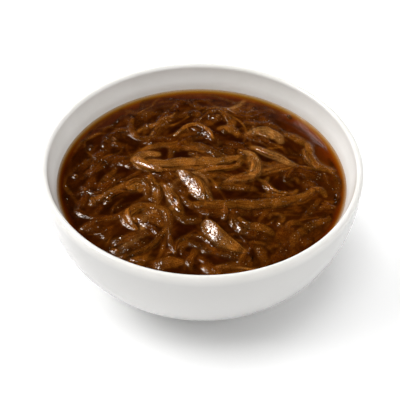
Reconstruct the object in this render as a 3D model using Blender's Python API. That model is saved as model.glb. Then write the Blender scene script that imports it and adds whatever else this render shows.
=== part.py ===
"""French onion soup in its bowl: a white porcelain bowl, the broth up to its level, and the heap of
soft onion strands that breaks the broth's surface.

Units are metres, +Z is up, and the origin is the middle of the foot ring, on the table.
"""

import math
import random

import bmesh
import bpy
import numpy as np

# Bowl. The lip is half a circle, so its widest circle is at the height of the lip's middle.
BOWL_RADIUS = 0.080
BOWL_HEIGHT = 0.060
LIP_ROUNDING = 0.00175
FOOT_HEIGHT = 0.0025
FOOT_RADIUS = 0.0365
FOOT_WIDTH = 0.0040
FOOT_CHAMFER = 0.0006
BASE_RADIUS = 0.0376
BODY_FULLNESS = 2.24
WALL_THICKNESS = 0.0063
WALL_THICKENS_OVER = 0.0110

# Broth and onions.
BROTH_LEVEL = 0.0460
JOIN_GAP = 0.0003
HEAP_RADIUS = 0.0655
HEAP_LOBE = 0.0022
HEAP_DEPTH = 0.0080
HEAP_BASE = -0.0006
HEAP_EDGE = -0.0012
HEAP_EDGE_FROM = 0.88

# Strands that make the heap's relief.
STRAND_COUNT = 62
STRAND_STEP = 0.0015
STRAND_LENGTH = (0.022, 0.048)
STRAND_HALF_WIDTH = (0.0034, 0.0048)
STRAND_CREST = (0.0010, 0.0025)
STRAND_TURN = 1.6
STRAND_SWAY = 0.45
GOLDEN_ANGLE = math.pi * (3 - math.sqrt(5))
SEED = 20

# Fineness of the faceted solids.
TURN_STEPS = 64
BODY_POINTS = 9
LIP_POINTS = 4
GRID_CELLS = 44

LIP_MIDDLE = BOWL_HEIGHT - LIP_ROUNDING
BODY_DEPTH = LIP_MIDDLE - FOOT_HEIGHT


def clear_scene():
    """Removes whatever the scene starts with."""
    for obj in list(bpy.data.objects):
        bpy.data.objects.remove(obj)


def make_material(name, colour, roughness):
    """A Principled BSDF material with one colour, not metallic."""
    material = bpy.data.materials.new(name)
    material.use_nodes = True
    shader = material.node_tree.nodes["Principled BSDF"]
    shader.inputs["Base Color"].default_value = (*colour, 1.0)
    shader.inputs["Roughness"].default_value = roughness
    shader.inputs["Metallic"].default_value = 0.0
    return material


def add_object(name, mesh, material, parent):
    """One named sub-part, shaded smooth but for its sharp corners."""
    obj = bpy.data.objects.new(name, mesh)
    bpy.context.scene.collection.objects.link(obj)
    mesh.materials.append(material)
    mesh.shade_smooth()
    mesh.set_sharp_from_angle(angle=math.radians(40))
    obj.parent = parent
    return obj


def outer_wall(share):
    """(radius, height, outward normal) of the bowl's outside, from the lip at share 0 to the base at 1.

    The outside is a superellipse: upright at the lip, flat where it meets the base.
    """
    angle = share * math.pi / 2
    power = 2 / BODY_FULLNESS
    across = BOWL_RADIUS - BASE_RADIUS
    radius = BASE_RADIUS + across * math.cos(angle) ** power
    height = LIP_MIDDLE - BODY_DEPTH * math.sin(angle) ** power
    # The normal of (x/a)^n + (y/b)^n = 1 is (x^(n-1)/a^n, y^(n-1)/b^n), here in terms of the angle.
    lean = 2 * (BODY_FULLNESS - 1) / BODY_FULLNESS
    out = math.cos(angle) ** lean / across
    down = math.sin(angle) ** lean / BODY_DEPTH
    size = math.hypot(out, down)
    return radius, height, (out / size, -down / size)


def wall_thickness(height):
    """The wall is as thick as the lip at the top, and thickens over a short way below it."""
    share = min(1.0, max(0.0, (LIP_MIDDLE - height) / WALL_THICKENS_OVER))
    smooth = share * share * (3 - 2 * share)
    return 2 * LIP_ROUNDING + (WALL_THICKNESS - 2 * LIP_ROUNDING) * smooth


def inner_wall(share, gap=0.0):
    """(radius, height) of the bowl's inside, moved into the hollow by a gap."""
    radius, height, normal = outer_wall(share)
    inset = wall_thickness(height) + gap
    return max(0.0, radius - normal[0] * inset), height - normal[1] * inset


def wall_shares():
    """Places down the wall, an equal turn apart, from the lip to the base."""
    return [i / BODY_POINTS for i in range(BODY_POINTS + 1)]


def bowl_profile():
    """The bowl's half section: up the inside, over the lip, down the outside and under the foot."""
    inside = [inner_wall(share) for share in reversed(wall_shares())]
    points = [(0.0, inside[0][1])] + inside
    lip_centre = BOWL_RADIUS - LIP_ROUNDING
    for i in range(1, LIP_POINTS):
        angle = math.pi * (1 - i / LIP_POINTS)
        radius = lip_centre + LIP_ROUNDING * math.cos(angle)
        points.append((radius, LIP_MIDDLE + LIP_ROUNDING * math.sin(angle)))
    points += [outer_wall(share)[:2] for share in wall_shares()]
    foot_inside = FOOT_RADIUS - FOOT_WIDTH
    points += [
        (FOOT_RADIUS + FOOT_CHAMFER, FOOT_HEIGHT),
        (FOOT_RADIUS, FOOT_CHAMFER),
        (FOOT_RADIUS - FOOT_CHAMFER, 0.0),
        (foot_inside + FOOT_CHAMFER, 0.0),
        (foot_inside, FOOT_CHAMFER),
        (foot_inside - FOOT_CHAMFER, FOOT_HEIGHT),
        (0.0, FOOT_HEIGHT),
    ]
    return points


def broth_profile():
    """The broth's half section: out along its level, then down the inside of the wall."""
    points = [(0.0, BROTH_LEVEL)]
    shares = [i / 400 for i in range(401)]
    meets = next(s for s in shares if inner_wall(s, JOIN_GAP)[1] <= BROTH_LEVEL)
    points.append((inner_wall(meets, JOIN_GAP)[0], BROTH_LEVEL))
    points += [inner_wall(s, JOIN_GAP) for s in wall_shares() if s > meets + 0.04]
    points.append((0.0, points[-1][1]))
    return points


def turned(name, profile, material, parent):
    """A half section turned about the Z axis with a Screw modifier."""
    mesh = bpy.data.meshes.new(name)
    edges = [(i, i + 1) for i in range(len(profile) - 1)]
    mesh.from_pydata([(r, 0.0, z) for r, z in profile], edges, [])
    obj = add_object(name, mesh, material, parent)
    screw = obj.modifiers.new("Turn", "SCREW")
    screw.axis = "Z"
    screw.angle = 2 * math.pi
    screw.steps = TURN_STEPS
    screw.render_steps = TURN_STEPS
    screw.use_merge_vertices = True
    screw.merge_threshold = 0.00005
    screw.use_smooth_shade = True
    return obj


def heap_radius(angle):
    """The heap's uneven outline, as a radius by direction."""
    lobes = math.sin(3 * angle + 0.6) + 0.7 * math.sin(5 * angle + 2.1) + 0.5 * math.sin(9 * angle)
    return HEAP_RADIUS + HEAP_LOBE * lobes / 2.2


def flow_heading(x, y):
    """The way the strands run: round the wall near it, and across the bowl in the middle."""
    reach = min(1.0, math.hypot(x, y) / HEAP_RADIUS)
    around = math.atan2(y, x) - math.pi / 2
    wave = 0.5 * math.sin(60 * x + 25 * y)
    return math.atan2(
        reach * math.sin(around) + (1 - reach) * math.sin(wave),
        reach * math.cos(around) + (1 - reach) * math.cos(wave),
    )


def strand_route(start, heading, length, turn):
    """Points of one strand: an arc that turns evenly by `turn` over its length."""
    steps = max(3, round(length / STRAND_STEP))
    x, y = start
    route = []
    for i in range(steps):
        route.append((x, y))
        bearing = heading + turn * (i / steps - 0.5)
        x += STRAND_STEP * math.cos(bearing)
        y += STRAND_STEP * math.sin(bearing)
    return np.array(route)


def strands():
    """(route, half width, crest over the broth) of each strand, spread evenly over the heap."""
    rng = random.Random(SEED)
    found = []
    for i in range(STRAND_COUNT):
        reach = HEAP_RADIUS * math.sqrt((i + 0.5) / STRAND_COUNT)
        middle = (reach * math.cos(i * GOLDEN_ANGLE), reach * math.sin(i * GOLDEN_ANGLE))
        heading = flow_heading(*middle) + rng.gauss(0, STRAND_SWAY)
        length = rng.uniform(*STRAND_LENGTH)
        start = (
            middle[0] - 0.5 * length * math.cos(heading),
            middle[1] - 0.5 * length * math.sin(heading),
        )
        route = strand_route(start, heading, length, rng.uniform(-STRAND_TURN, STRAND_TURN))
        found.append((route, rng.uniform(*STRAND_HALF_WIDTH), rng.uniform(*STRAND_CREST)))
    return found


def relief(points):
    """Height of the heap's top over the broth's level at each of the points, in plan."""
    height = np.full(len(points), HEAP_BASE)
    for route, half_width, crest in strands():
        away = np.linalg.norm(points[:, None] - route[None], axis=2).min(axis=1)
        rounded = np.clip(1 - (away / half_width) ** 2, 0, 1)
        height = np.maximum(height, HEAP_BASE + (crest - HEAP_BASE) * rounded)
    # The strands at the outline dip into the broth.
    reach = np.hypot(points[:, 0], points[:, 1]) / HEAP_RADIUS
    dip = np.clip((reach - HEAP_EDGE_FROM) / (1 - HEAP_EDGE_FROM), 0, 1)
    return height * (1 - dip) + HEAP_EDGE * dip


def disc_point(u, v):
    """A square's point (each side -1 to 1) moved onto the unit disc, keeping cells of like size."""
    if u == 0 and v == 0:
        return 0.0, 0.0
    if abs(u) > abs(v):
        return u * math.cos(math.pi / 4 * v / u), u * math.sin(math.pi / 4 * v / u)
    return v * math.sin(math.pi / 4 * u / v), v * math.cos(math.pi / 4 * u / v)


def heap_mesh():
    """The heap: a grid shaped to the outline and lifted to the relief, with straight sides below."""
    shape = bmesh.new()
    bmesh.ops.create_grid(shape, x_segments=GRID_CELLS, y_segments=GRID_CELLS, size=1.0)
    for vert in shape.verts:
        x, y = disc_point(vert.co.x, vert.co.y)
        radius = heap_radius(math.atan2(y, x))
        vert.co = (x * radius, y * radius, 0.0)
    plan = np.array([vert.co[:2] for vert in shape.verts])
    for vert, height in zip(shape.verts, relief(plan)):
        vert.co.z = BROTH_LEVEL + height
    outline = [edge for edge in shape.edges if edge.is_boundary]
    sides = bmesh.ops.extrude_edge_only(shape, edges=outline)["geom"]
    for vert in (item for item in sides if isinstance(item, bmesh.types.BMVert)):
        vert.co.z = BROTH_LEVEL - HEAP_DEPTH
    bottom = [edge for edge in shape.edges if edge.is_boundary]
    bmesh.ops.contextual_create(shape, geom=bottom)
    bmesh.ops.recalc_face_normals(shape, faces=shape.faces)
    mesh = bpy.data.meshes.new("onions")
    shape.to_mesh(mesh)
    shape.free()
    return mesh


def pocket_cutter(parent):
    """A prism of the heap's outline, a gap larger all round, that makes room for it in the broth."""
    shape = bmesh.new()
    count = 4 * (GRID_CELLS - 1)
    floor = BROTH_LEVEL - HEAP_DEPTH - JOIN_GAP
    ring = []
    for i in range(count):
        angle = 2 * math.pi * i / count
        radius = heap_radius(angle) + 2 * JOIN_GAP
        ring.append(shape.verts.new((radius * math.cos(angle), radius * math.sin(angle), floor)))
    base = shape.faces.new(ring)
    raised = bmesh.ops.extrude_face_region(shape, geom=[base])["geom"]
    for vert in (item for item in raised if isinstance(item, bmesh.types.BMVert)):
        vert.co.z = BROTH_LEVEL + HEAP_DEPTH
    bmesh.ops.recalc_face_normals(shape, faces=shape.faces)
    mesh = bpy.data.meshes.new("heap_pocket")
    shape.to_mesh(mesh)
    shape.free()
    cutter = bpy.data.objects.new("heap_pocket", mesh)
    bpy.context.scene.collection.objects.link(cutter)
    cutter.parent = parent
    cutter.hide_render = True
    cutter.display_type = "WIRE"
    return cutter


def build():
    """Makes the three sub-parts under one empty at the origin."""
    clear_scene()
    table_point = bpy.data.objects.new("bowl_of_soup", None)
    bpy.context.scene.collection.objects.link(table_point)

    porcelain = make_material("white_porcelain", (0.86, 0.85, 0.84), 0.15)
    brown_broth = make_material("brown_broth", (0.050, 0.014, 0.002), 0.08)
    cooked_onion = make_material("cooked_onion", (0.16, 0.055, 0.010), 0.25)

    turned("bowl", bowl_profile(), porcelain, table_point)
    broth = turned("broth", broth_profile(), brown_broth, table_point)
    pocket = broth.modifiers.new("Room for the onions", "BOOLEAN")
    pocket.operation = "DIFFERENCE"
    pocket.object = pocket_cutter(table_point)
    add_object("onions", heap_mesh(), cooked_onion, table_point)


build()
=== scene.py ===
"""French onion soup in a white porcelain bowl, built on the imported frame.

The bowl is turned from its half section. The onion strands are cut from one modelled blank, bent along
their routes and laid one on another in the broth. The broth's surface is then settled over them as a
liquid skin: level in the open, climbing the wall and every strand that breaks it.
"""

import logging
import math
from collections.abc import Iterator, Sequence
from dataclasses import dataclass, field
from enum import Enum
from typing import ClassVar

import bpy
import numpy as np
from mathutils import Matrix, Vector


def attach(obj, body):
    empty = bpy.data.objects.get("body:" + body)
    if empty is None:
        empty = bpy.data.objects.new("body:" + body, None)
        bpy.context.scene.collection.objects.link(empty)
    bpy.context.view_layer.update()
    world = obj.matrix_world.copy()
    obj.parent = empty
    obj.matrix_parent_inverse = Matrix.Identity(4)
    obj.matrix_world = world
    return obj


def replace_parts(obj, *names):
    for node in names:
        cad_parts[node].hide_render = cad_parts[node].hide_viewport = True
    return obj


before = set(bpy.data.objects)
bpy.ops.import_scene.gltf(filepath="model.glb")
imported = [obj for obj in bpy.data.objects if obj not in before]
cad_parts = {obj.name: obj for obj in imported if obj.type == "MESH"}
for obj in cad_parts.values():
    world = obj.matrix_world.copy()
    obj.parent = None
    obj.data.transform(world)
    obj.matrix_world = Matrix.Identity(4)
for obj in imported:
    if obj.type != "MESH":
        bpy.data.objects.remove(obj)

LOG = logging.getLogger("onion_soup")
MM = 0.001
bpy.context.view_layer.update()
# The points in plan that a strand's middle line runs through, in millimetres.
Route = Sequence[tuple[float, float]]


def linear(code: str) -> tuple[float, float, float, float]:
    """Turns an sRGB hex colour into linear light.

    Args:
        code: the colour as "#RRGGBB".

    Returns:
        Red, green, blue and an alpha of one.
    """
    channels = [int(code[i : i + 2], 16) / 255 for i in (1, 3, 5)]
    lit = [c / 12.92 if c <= 0.04045 else ((c + 0.055) / 1.055) ** 2.4 for c in channels]
    return (lit[0], lit[1], lit[2], 1.0)


def add_node(tree: bpy.types.NodeTree, kind: str, inputs: dict | None = None, **settings) -> bpy.types.Node:
    """Adds a node, with its settings and links.

    Args:
        tree: the node tree it goes in.
        kind: the node's type, such as "ShaderNodeBump".
        inputs: a value, or another node's output to link, for each input socket by name or number
            (a Mix node has sockets of one name for each kind of data, and its colours are 6 and 7).
        settings: the node's own properties.

    Returns:
        The new node.
    """
    node = tree.nodes.new(kind)
    for name, value in settings.items():
        setattr(node, name, value)
    for name, value in (inputs or {}).items():
        if isinstance(value, bpy.types.NodeSocket):
            tree.links.new(value, node.inputs[name])
        else:
            node.inputs[name].default_value = value
    return node


def add_ramp(
    tree: bpy.types.NodeTree, factor: bpy.types.NodeSocket, stops: dict[float, str]
) -> bpy.types.Node:
    """Adds a colour ramp.

    Args:
        tree: the node tree it goes in.
        factor: what the ramp reads.
        stops: an sRGB hex colour for each place along the ramp, at least two.

    Returns:
        The ramp node.
    """
    node = add_node(tree, "ShaderNodeValToRGB", {"Fac": factor})
    places = sorted(stops)
    elements = node.color_ramp.elements
    elements[0].position, elements[1].position = places[0], places[-1]
    for place in places[1:-1]:
        elements.new(place)
    for element, place in zip(elements, places):
        element.color = linear(stops[place])
    return node


def new_material(name: str) -> tuple[bpy.types.Material, bpy.types.NodeTree, bpy.types.Node]:
    """Starts a node material.

    Args:
        name: the material's name.

    Returns:
        The material, its node tree and its Principled shader.
    """
    material = bpy.data.materials.new(name)
    material.use_nodes = True
    return material, material.node_tree, material.node_tree.nodes["Principled BSDF"]


def start_clean() -> None:
    """Leaves edit mode and deselects everything."""
    if bpy.context.object and bpy.context.object.mode != "OBJECT":
        bpy.ops.object.mode_set(mode="OBJECT")
    bpy.ops.object.select_all(action="DESELECT")


def face_outwards() -> None:
    """Turns the active piece's faces outwards and smooths its shading, and leaves edit mode."""
    bpy.ops.object.mode_set(mode="EDIT")
    bpy.ops.mesh.select_all(action="SELECT")
    bpy.ops.mesh.normals_make_consistent(inside=False)
    bpy.ops.object.mode_set(mode="OBJECT")
    bpy.ops.object.shade_smooth()


def mark_points(mesh: bpy.types.Mesh, name: str, colour: np.ndarray, run: np.ndarray) -> None:
    """Gives each point of a mesh its colour, and its place along and across the ribs.

    Args:
        mesh: the mesh.
        name: the colour's name, which the material reads.
        colour: red, green, blue and alpha for each point.
        run: place along and across, in metres, for each point.
    """
    attribute = mesh.color_attributes.new(name, "FLOAT_COLOR", "POINT")
    attribute.data.foreach_set("color", colour.astype(np.float32).ravel())
    corner = np.zeros(len(mesh.loops), np.int32)
    mesh.loops.foreach_get("vertex_index", corner)
    mesh.uv_layers.new(name="UVMap").data.foreach_set("uv", run[corner].astype(np.float32).ravel())


def settle(piece: bpy.types.Object, name: str, material: bpy.types.Material) -> bpy.types.Object:
    """Names and dresses a finished piece and lets it ride on the frame.

    Args:
        piece: the mesh object, with its place in its mesh.
        name: the piece's name.
        material: its finish.

    Returns:
        The same object.
    """
    piece.name = piece.data.name = name
    piece.data.materials.clear()
    piece.data.materials.append(material)
    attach(piece, "root")
    LOG.info("%s: %d vertices, %d faces", name, len(piece.data.vertices), len(piece.data.polygons))
    return piece


# ------------------------------------------------------------------------------------------ finishes


@dataclass(frozen=True)
class GlazedPorcelain:
    """White tableware porcelain, dipped in clear glaze; the foot ring is wiped bare before firing.

    The glaze gives a soft, even white with a thin gloss and a barely uneven sheen. The outer wall is painted
    a little darker than the inside, as painted shade.
    """

    body: str = "#E9E7E3"
    shade: str = "#E3E1DC"
    # painted shade: the outer wall's colour, darker than the inside's
    outer: str = "#CCCBC9"
    bare_foot: str = "#D8D0C4"
    refraction: float = 1.5
    glaze_roughness: float = 0.16
    glaze_level: float = 0.2
    bare_roughness: float = 0.75
    bare_below: float = 0.7 * MM
    glazed_above: float = 1.12 * MM
    cloud_size: float = 22.22 * MM
    ripple_size: float = 14 * MM
    ripple_height: float = 0.3 * MM
    ripple_share: float = 0.12

    def material(self) -> bpy.types.Material:
        """Builds the node material."""
        material, tree, shader = new_material("glazed_white_porcelain")
        place = add_node(tree, "ShaderNodeTexCoord").outputs["Object"]
        height = add_node(tree, "ShaderNodeSeparateXYZ", {"Vector": place}).outputs["Z"]
        cloud = add_node(
            tree, "ShaderNodeTexNoise", {"Vector": place, "Scale": 1 / self.cloud_size, "Detail": 3.0}
        )
        white = add_ramp(tree, cloud.outputs["Fac"], {0.35: self.shade, 0.65: self.body})
        bare = add_node(
            tree,
            "ShaderNodeMapRange",
            {"Value": height, "From Min": self.bare_below, "From Max": self.glazed_above},
        )
        # Painted shade: the outer wall takes the darker outer colour.
        outward = add_node(tree, "ShaderNodeAttribute", attribute_name="painted_shade_outer_face").outputs["Fac"]
        glazed = add_node(
            tree,
            "ShaderNodeMix",
            {"Factor": outward, 6: white.outputs["Color"], 7: linear(self.outer)},
            data_type="RGBA",
        )
        colour = add_node(
            tree,
            "ShaderNodeMix",
            {"Factor": bare.outputs["Result"], 6: linear(self.bare_foot), 7: glazed.outputs[2]},
            data_type="RGBA",
        )
        gloss = add_node(
            tree,
            "ShaderNodeMapRange",
            {"Value": bare.outputs["Result"], "To Min": self.bare_roughness, "To Max": self.glaze_roughness},
        )
        ripple = add_node(
            tree, "ShaderNodeTexNoise", {"Vector": place, "Scale": 1 / self.ripple_size, "Detail": 2.0}
        )
        bump = add_node(
            tree,
            "ShaderNodeBump",
            {
                "Height": ripple.outputs["Fac"],
                "Strength": self.ripple_share,
                "Distance": self.ripple_height,
            },
        )
        shader.inputs["IOR"].default_value = self.refraction
        shader.inputs["Specular IOR Level"].default_value = self.glaze_level
        tree.links.new(colour.outputs[2], shader.inputs["Base Color"])
        tree.links.new(gloss.outputs["Result"], shader.inputs["Roughness"])
        tree.links.new(bump.outputs["Normal"], shader.inputs["Normal"])
        return material


@dataclass(frozen=True)
class Ribs:
    """The ribs of an onion's scale leaf, which run along each strand about half a millimetre apart.

    They show as fine light and dark lines. The wet skin over them stands in beads on the cell walls, which
    break every light into grains. Small drops of broth lie on it, and tiny pale dots of butter that also
    stand in for glints: painted highlights.
    """

    spacing: float = 0.55 * MM
    length: float = 9.0 * MM
    grain: float = 0.8 * MM
    speck: float = 0.55 * MM
    cluster: float = 6.0 * MM
    bead: float = 0.7 * MM
    bead_edge: tuple[float, float] = (0.505, 0.585)
    dry: float = 0.0
    wet: float = 0.5
    drop: float = 0.55 * MM
    drop_spacing: float = 2.1 * MM
    drop_height: float = 0.2 * MM
    fleck: float = 0.34 * MM
    fleck_spacing: float = 1.3 * MM
    fleck_patch: tuple[float, float] = (0.54, 0.62)
    fleck_near: float = 0.8
    groove: str = "#C0A17C"
    cell_wall: str = "#C8BEAF"
    # painted highlight: the colour of the pale dots, butter that also stands in for glints
    butter: str = "#D2A877"

    def colour(
        self,
        tree: bpy.types.NodeTree,
        base: bpy.types.NodeSocket,
        share: bpy.types.NodeSocket | float = 1.0,
    ) -> tuple[bpy.types.NodeSocket, bpy.types.NodeSocket]:
        """Streaks a colour along the strands, and paints on it tiny pale dots of butter that also stand in
        for glints: painted highlights.

        Args:
            tree: the material's node tree.
            base: the colour to streak.
            share: how much of the streaks shows, from 0 to 1.

        Returns:
            The streaked colour and the streaks' height.
        """
        along = add_node(tree, "ShaderNodeUVMap", uv_map="UVMap").outputs["UV"]
        scale = (1 / self.length, 1 / self.spacing, 1.0)
        drawn = add_node(tree, "ShaderNodeMapping", {"Vector": along, "Scale": scale}).outputs["Vector"]
        streaks = add_node(
            tree, "ShaderNodeTexNoise", {"Vector": drawn, "Scale": 1.0, "Detail": 4.0, "Roughness": 0.8}
        ).outputs["Fac"]
        place = add_node(tree, "ShaderNodeTexCoord").outputs["Object"]
        specks = add_node(
            tree, "ShaderNodeTexNoise", {"Vector": place, "Scale": 1 / self.speck, "Detail": 1.0}
        ).outputs["Fac"]
        shade = add_ramp(tree, streaks, {0.4: self.groove, 0.6: "#FFFFFF"}).outputs["Color"]
        cells = add_ramp(tree, specks, {0.4: self.cell_wall, 0.6: "#FFFFFF"}).outputs["Color"]
        mixed = base
        for layer in (shade, cells):
            mixed = add_node(
                tree,
                "ShaderNodeMix",
                {"Factor": share, 6: mixed, 7: layer},
                data_type="RGBA",
                blend_type="MULTIPLY",
            ).outputs[2]
        # Painted highlights: pale dots of butter, which also stand in for glints, are mixed in close to the
        # onion's skin.
        near = add_node(
            tree, "ShaderNodeMapRange", {"Value": share, "From Min": self.fleck_near, "From Max": 1.0}
        )
        dots = add_node(
            tree, "ShaderNodeMath", {0: self.butter_and_glint_flecks(tree), 1: near.outputs["Result"]}, operation="MULTIPLY"
        )
        mixed = add_node(
            tree,
            "ShaderNodeMix",
            {"Factor": dots.outputs["Value"], 6: mixed, 7: linear(self.butter)},
            data_type="RGBA",
        ).outputs[2]
        return mixed, streaks

    def bump(
        self,
        tree: bpy.types.NodeTree,
        streaks: bpy.types.NodeSocket,
        ribs: float,
        grains: float,
        share: bpy.types.NodeSocket | float = 1.0,
    ) -> bpy.types.NodeSocket:
        """Raises the ribs, the wet skin's grains and the small drops that stand on it.

        Args:
            tree: the material's node tree.
            streaks: the streaks' height.
            ribs: height of the ribs, in metres.
            grains: height of the grains, in metres.
            share: how much of both shows, from 0 to 1.

        Returns:
            The normal.
        """
        place = add_node(tree, "ShaderNodeTexCoord").outputs["Object"]
        fine = add_node(
            tree,
            "ShaderNodeTexNoise",
            {"Vector": place, "Scale": 1 / self.grain, "Detail": 1.0, "Roughness": 0.5},
        ).outputs["Fac"]
        broad = add_node(
            tree, "ShaderNodeTexNoise", {"Vector": place, "Scale": 1 / self.cluster}
        ).outputs["Fac"]
        gather = add_node(
            tree, "ShaderNodeMapRange", {"Value": broad, "From Min": 0.4, "From Max": 0.6, "To Min": 0.3}
        ).outputs["Result"]
        fine = add_node(tree, "ShaderNodeMath", {0: fine, 1: gather}, operation="MULTIPLY").outputs["Value"]
        ridge = add_node(
            tree, "ShaderNodeBump", {"Height": streaks, "Strength": share, "Distance": ribs}
        ).outputs["Normal"]
        wet = add_node(
            tree, "ShaderNodeBump", {"Height": fine, "Normal": ridge, "Strength": share, "Distance": grains}
        )
        return add_node(
            tree,
            "ShaderNodeBump",
            {
                "Height": self.drops(tree),
                "Normal": wet.outputs["Normal"],
                "Strength": share,
                "Distance": self.drop_height,
            },
        ).outputs["Normal"]

    def butter_and_glint_flecks(self, tree: bpy.types.NodeTree) -> bpy.types.NodeSocket:
        """Scatters clusters of tiny pale dots of butter that also stand in for glints (painted highlights), 1
        at each one's middle and 0 between them.
        """
        place = add_node(tree, "ShaderNodeTexCoord").outputs["Object"]
        away = add_node(
            tree, "ShaderNodeTexVoronoi", {"Vector": place, "Scale": 1 / self.fleck_spacing}
        ).outputs["Distance"]
        dot = add_node(
            tree,
            "ShaderNodeMapRange",
            {"Value": away, "From Min": self.fleck / self.fleck_spacing, "From Max": 0.0},
            interpolation_type="SMOOTHSTEP",
        ).outputs["Result"]
        broad = add_node(
            tree, "ShaderNodeTexNoise", {"Vector": place, "Scale": 1 / self.cluster, "Detail": 1.0}
        ).outputs["Fac"]
        patch = add_node(
            tree,
            "ShaderNodeMapRange",
            {"Value": broad, "From Min": self.fleck_patch[0], "From Max": self.fleck_patch[1]},
        )
        return add_node(
            tree, "ShaderNodeMath", {0: dot, 1: patch.outputs["Result"]}, operation="MULTIPLY"
        ).outputs["Value"]

    def drops(self, tree: bpy.types.NodeTree) -> bpy.types.NodeSocket:
        """Scatters small round drops of broth, 1 at each one's middle and 0 between them."""
        place = add_node(tree, "ShaderNodeTexCoord").outputs["Object"]
        away = add_node(
            tree, "ShaderNodeTexVoronoi", {"Vector": place, "Scale": 1 / self.drop_spacing}
        ).outputs["Distance"]
        return add_node(
            tree,
            "ShaderNodeMapRange",
            {"Value": away, "From Min": self.drop / self.drop_spacing, "From Max": 0.0},
            interpolation_type="SMOOTHSTEP",
        ).outputs["Result"]

    def shine(
        self,
        tree: bpy.types.NodeTree,
        still: float = 0.0,
        share: bpy.types.NodeSocket | float = 1.0,
    ) -> bpy.types.NodeSocket:
        """Breaks the shine into beads, where the wet film stands on the cell walls.

        Args:
            tree: the material's node tree.
            still: the specular level where no onion is near.
            share: how near the onion is, from 0 to 1.

        Returns:
            The specular level.
        """
        place = add_node(tree, "ShaderNodeTexCoord").outputs["Object"]
        beads = add_node(
            tree, "ShaderNodeTexNoise", {"Vector": place, "Scale": 1 / self.bead, "Detail": 1.0}
        ).outputs["Fac"]
        beaded = add_node(
            tree,
            "ShaderNodeMapRange",
            {
                "Value": beads,
                "From Min": self.bead_edge[0],
                "From Max": self.bead_edge[1],
                "To Min": self.dry,
                "To Max": self.wet,
            },
        ).outputs["Result"]
        film = add_node(tree, "ShaderNodeMath", {0: beaded, 1: self.drops(tree)}, operation="MAXIMUM")
        return add_node(
            tree, "ShaderNodeMix", {"Factor": share, "A": still, "B": film.outputs["Value"]}
        ).outputs[0]


@dataclass(frozen=True)
class BrownBroth:
    """Beef and onion broth, reduced until nearly black in the bowl's middle and amber where it is thin.

    Its skin is a still mirror; the onion below shows through as colour, with its ribs, and roughens the
    skin only where it touches it.
    """

    deep: str = "#250A01"
    margin: str = "#301201"
    # painted light: the lighter colour painted by the wall at the lit side, and half as much at the back
    glow: str = "#5A2504"
    refraction: float = 1.35
    still: float = 0.07
    veil: float = 0.35
    roughness: float = 0.05
    rib_height: float = 0.03 * MM
    grain_height: float = 0.1 * MM
    ribs: Ribs = Ribs()

    def material(self) -> bpy.types.Material:
        """Builds the node material, which reads the colour worked out for each point of the surface.

        The colour's alpha holds how near the onion is to the skin there.
        """
        material, tree, shader = new_material("brown_beef_broth")
        seen = add_node(tree, "ShaderNodeVertexColor", layer_name="seen_through")
        veil = add_node(tree, "ShaderNodeMapRange", {"Value": seen.outputs["Alpha"], "To Min": self.veil})
        colour, streaks = self.ribs.colour(tree, seen.outputs["Color"], veil.outputs["Result"])
        normal = self.ribs.bump(tree, streaks, self.rib_height, self.grain_height, seen.outputs["Alpha"])
        level = self.ribs.shine(tree, self.still, seen.outputs["Alpha"])
        shader.inputs["IOR"].default_value = self.refraction
        tree.links.new(level, shader.inputs["Specular IOR Level"])
        shader.inputs["Roughness"].default_value = self.roughness
        tree.links.new(colour, shader.inputs["Base Color"])
        tree.links.new(normal, shader.inputs["Normal"])
        return material


@dataclass(frozen=True)
class CookedOnion:
    """Onion scale leaves, sliced, browned in butter and soaked in broth: soft, ribbed and half clear."""

    refraction: float = 1.36
    roughness: float = 0.06
    rib_height: float = 0.035 * MM
    grain_height: float = 0.1 * MM
    ribs: Ribs = Ribs()

    def material(self) -> bpy.types.Material:
        """Builds the node material, which reads each strand's own colour and runs its ribs lengthwise."""
        material, tree, shader = new_material("soaked_browned_onion")
        flesh = add_node(tree, "ShaderNodeVertexColor", layer_name="flesh").outputs["Color"]
        colour, streaks = self.ribs.colour(tree, flesh)
        normal = self.ribs.bump(tree, streaks, self.rib_height, self.grain_height)
        shader.inputs["IOR"].default_value = self.refraction
        tree.links.new(self.ribs.shine(tree), shader.inputs["Specular IOR Level"])
        shader.inputs["Roughness"].default_value = self.roughness
        tree.links.new(colour, shader.inputs["Base Color"])
        tree.links.new(normal, shader.inputs["Normal"])
        return material


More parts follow.
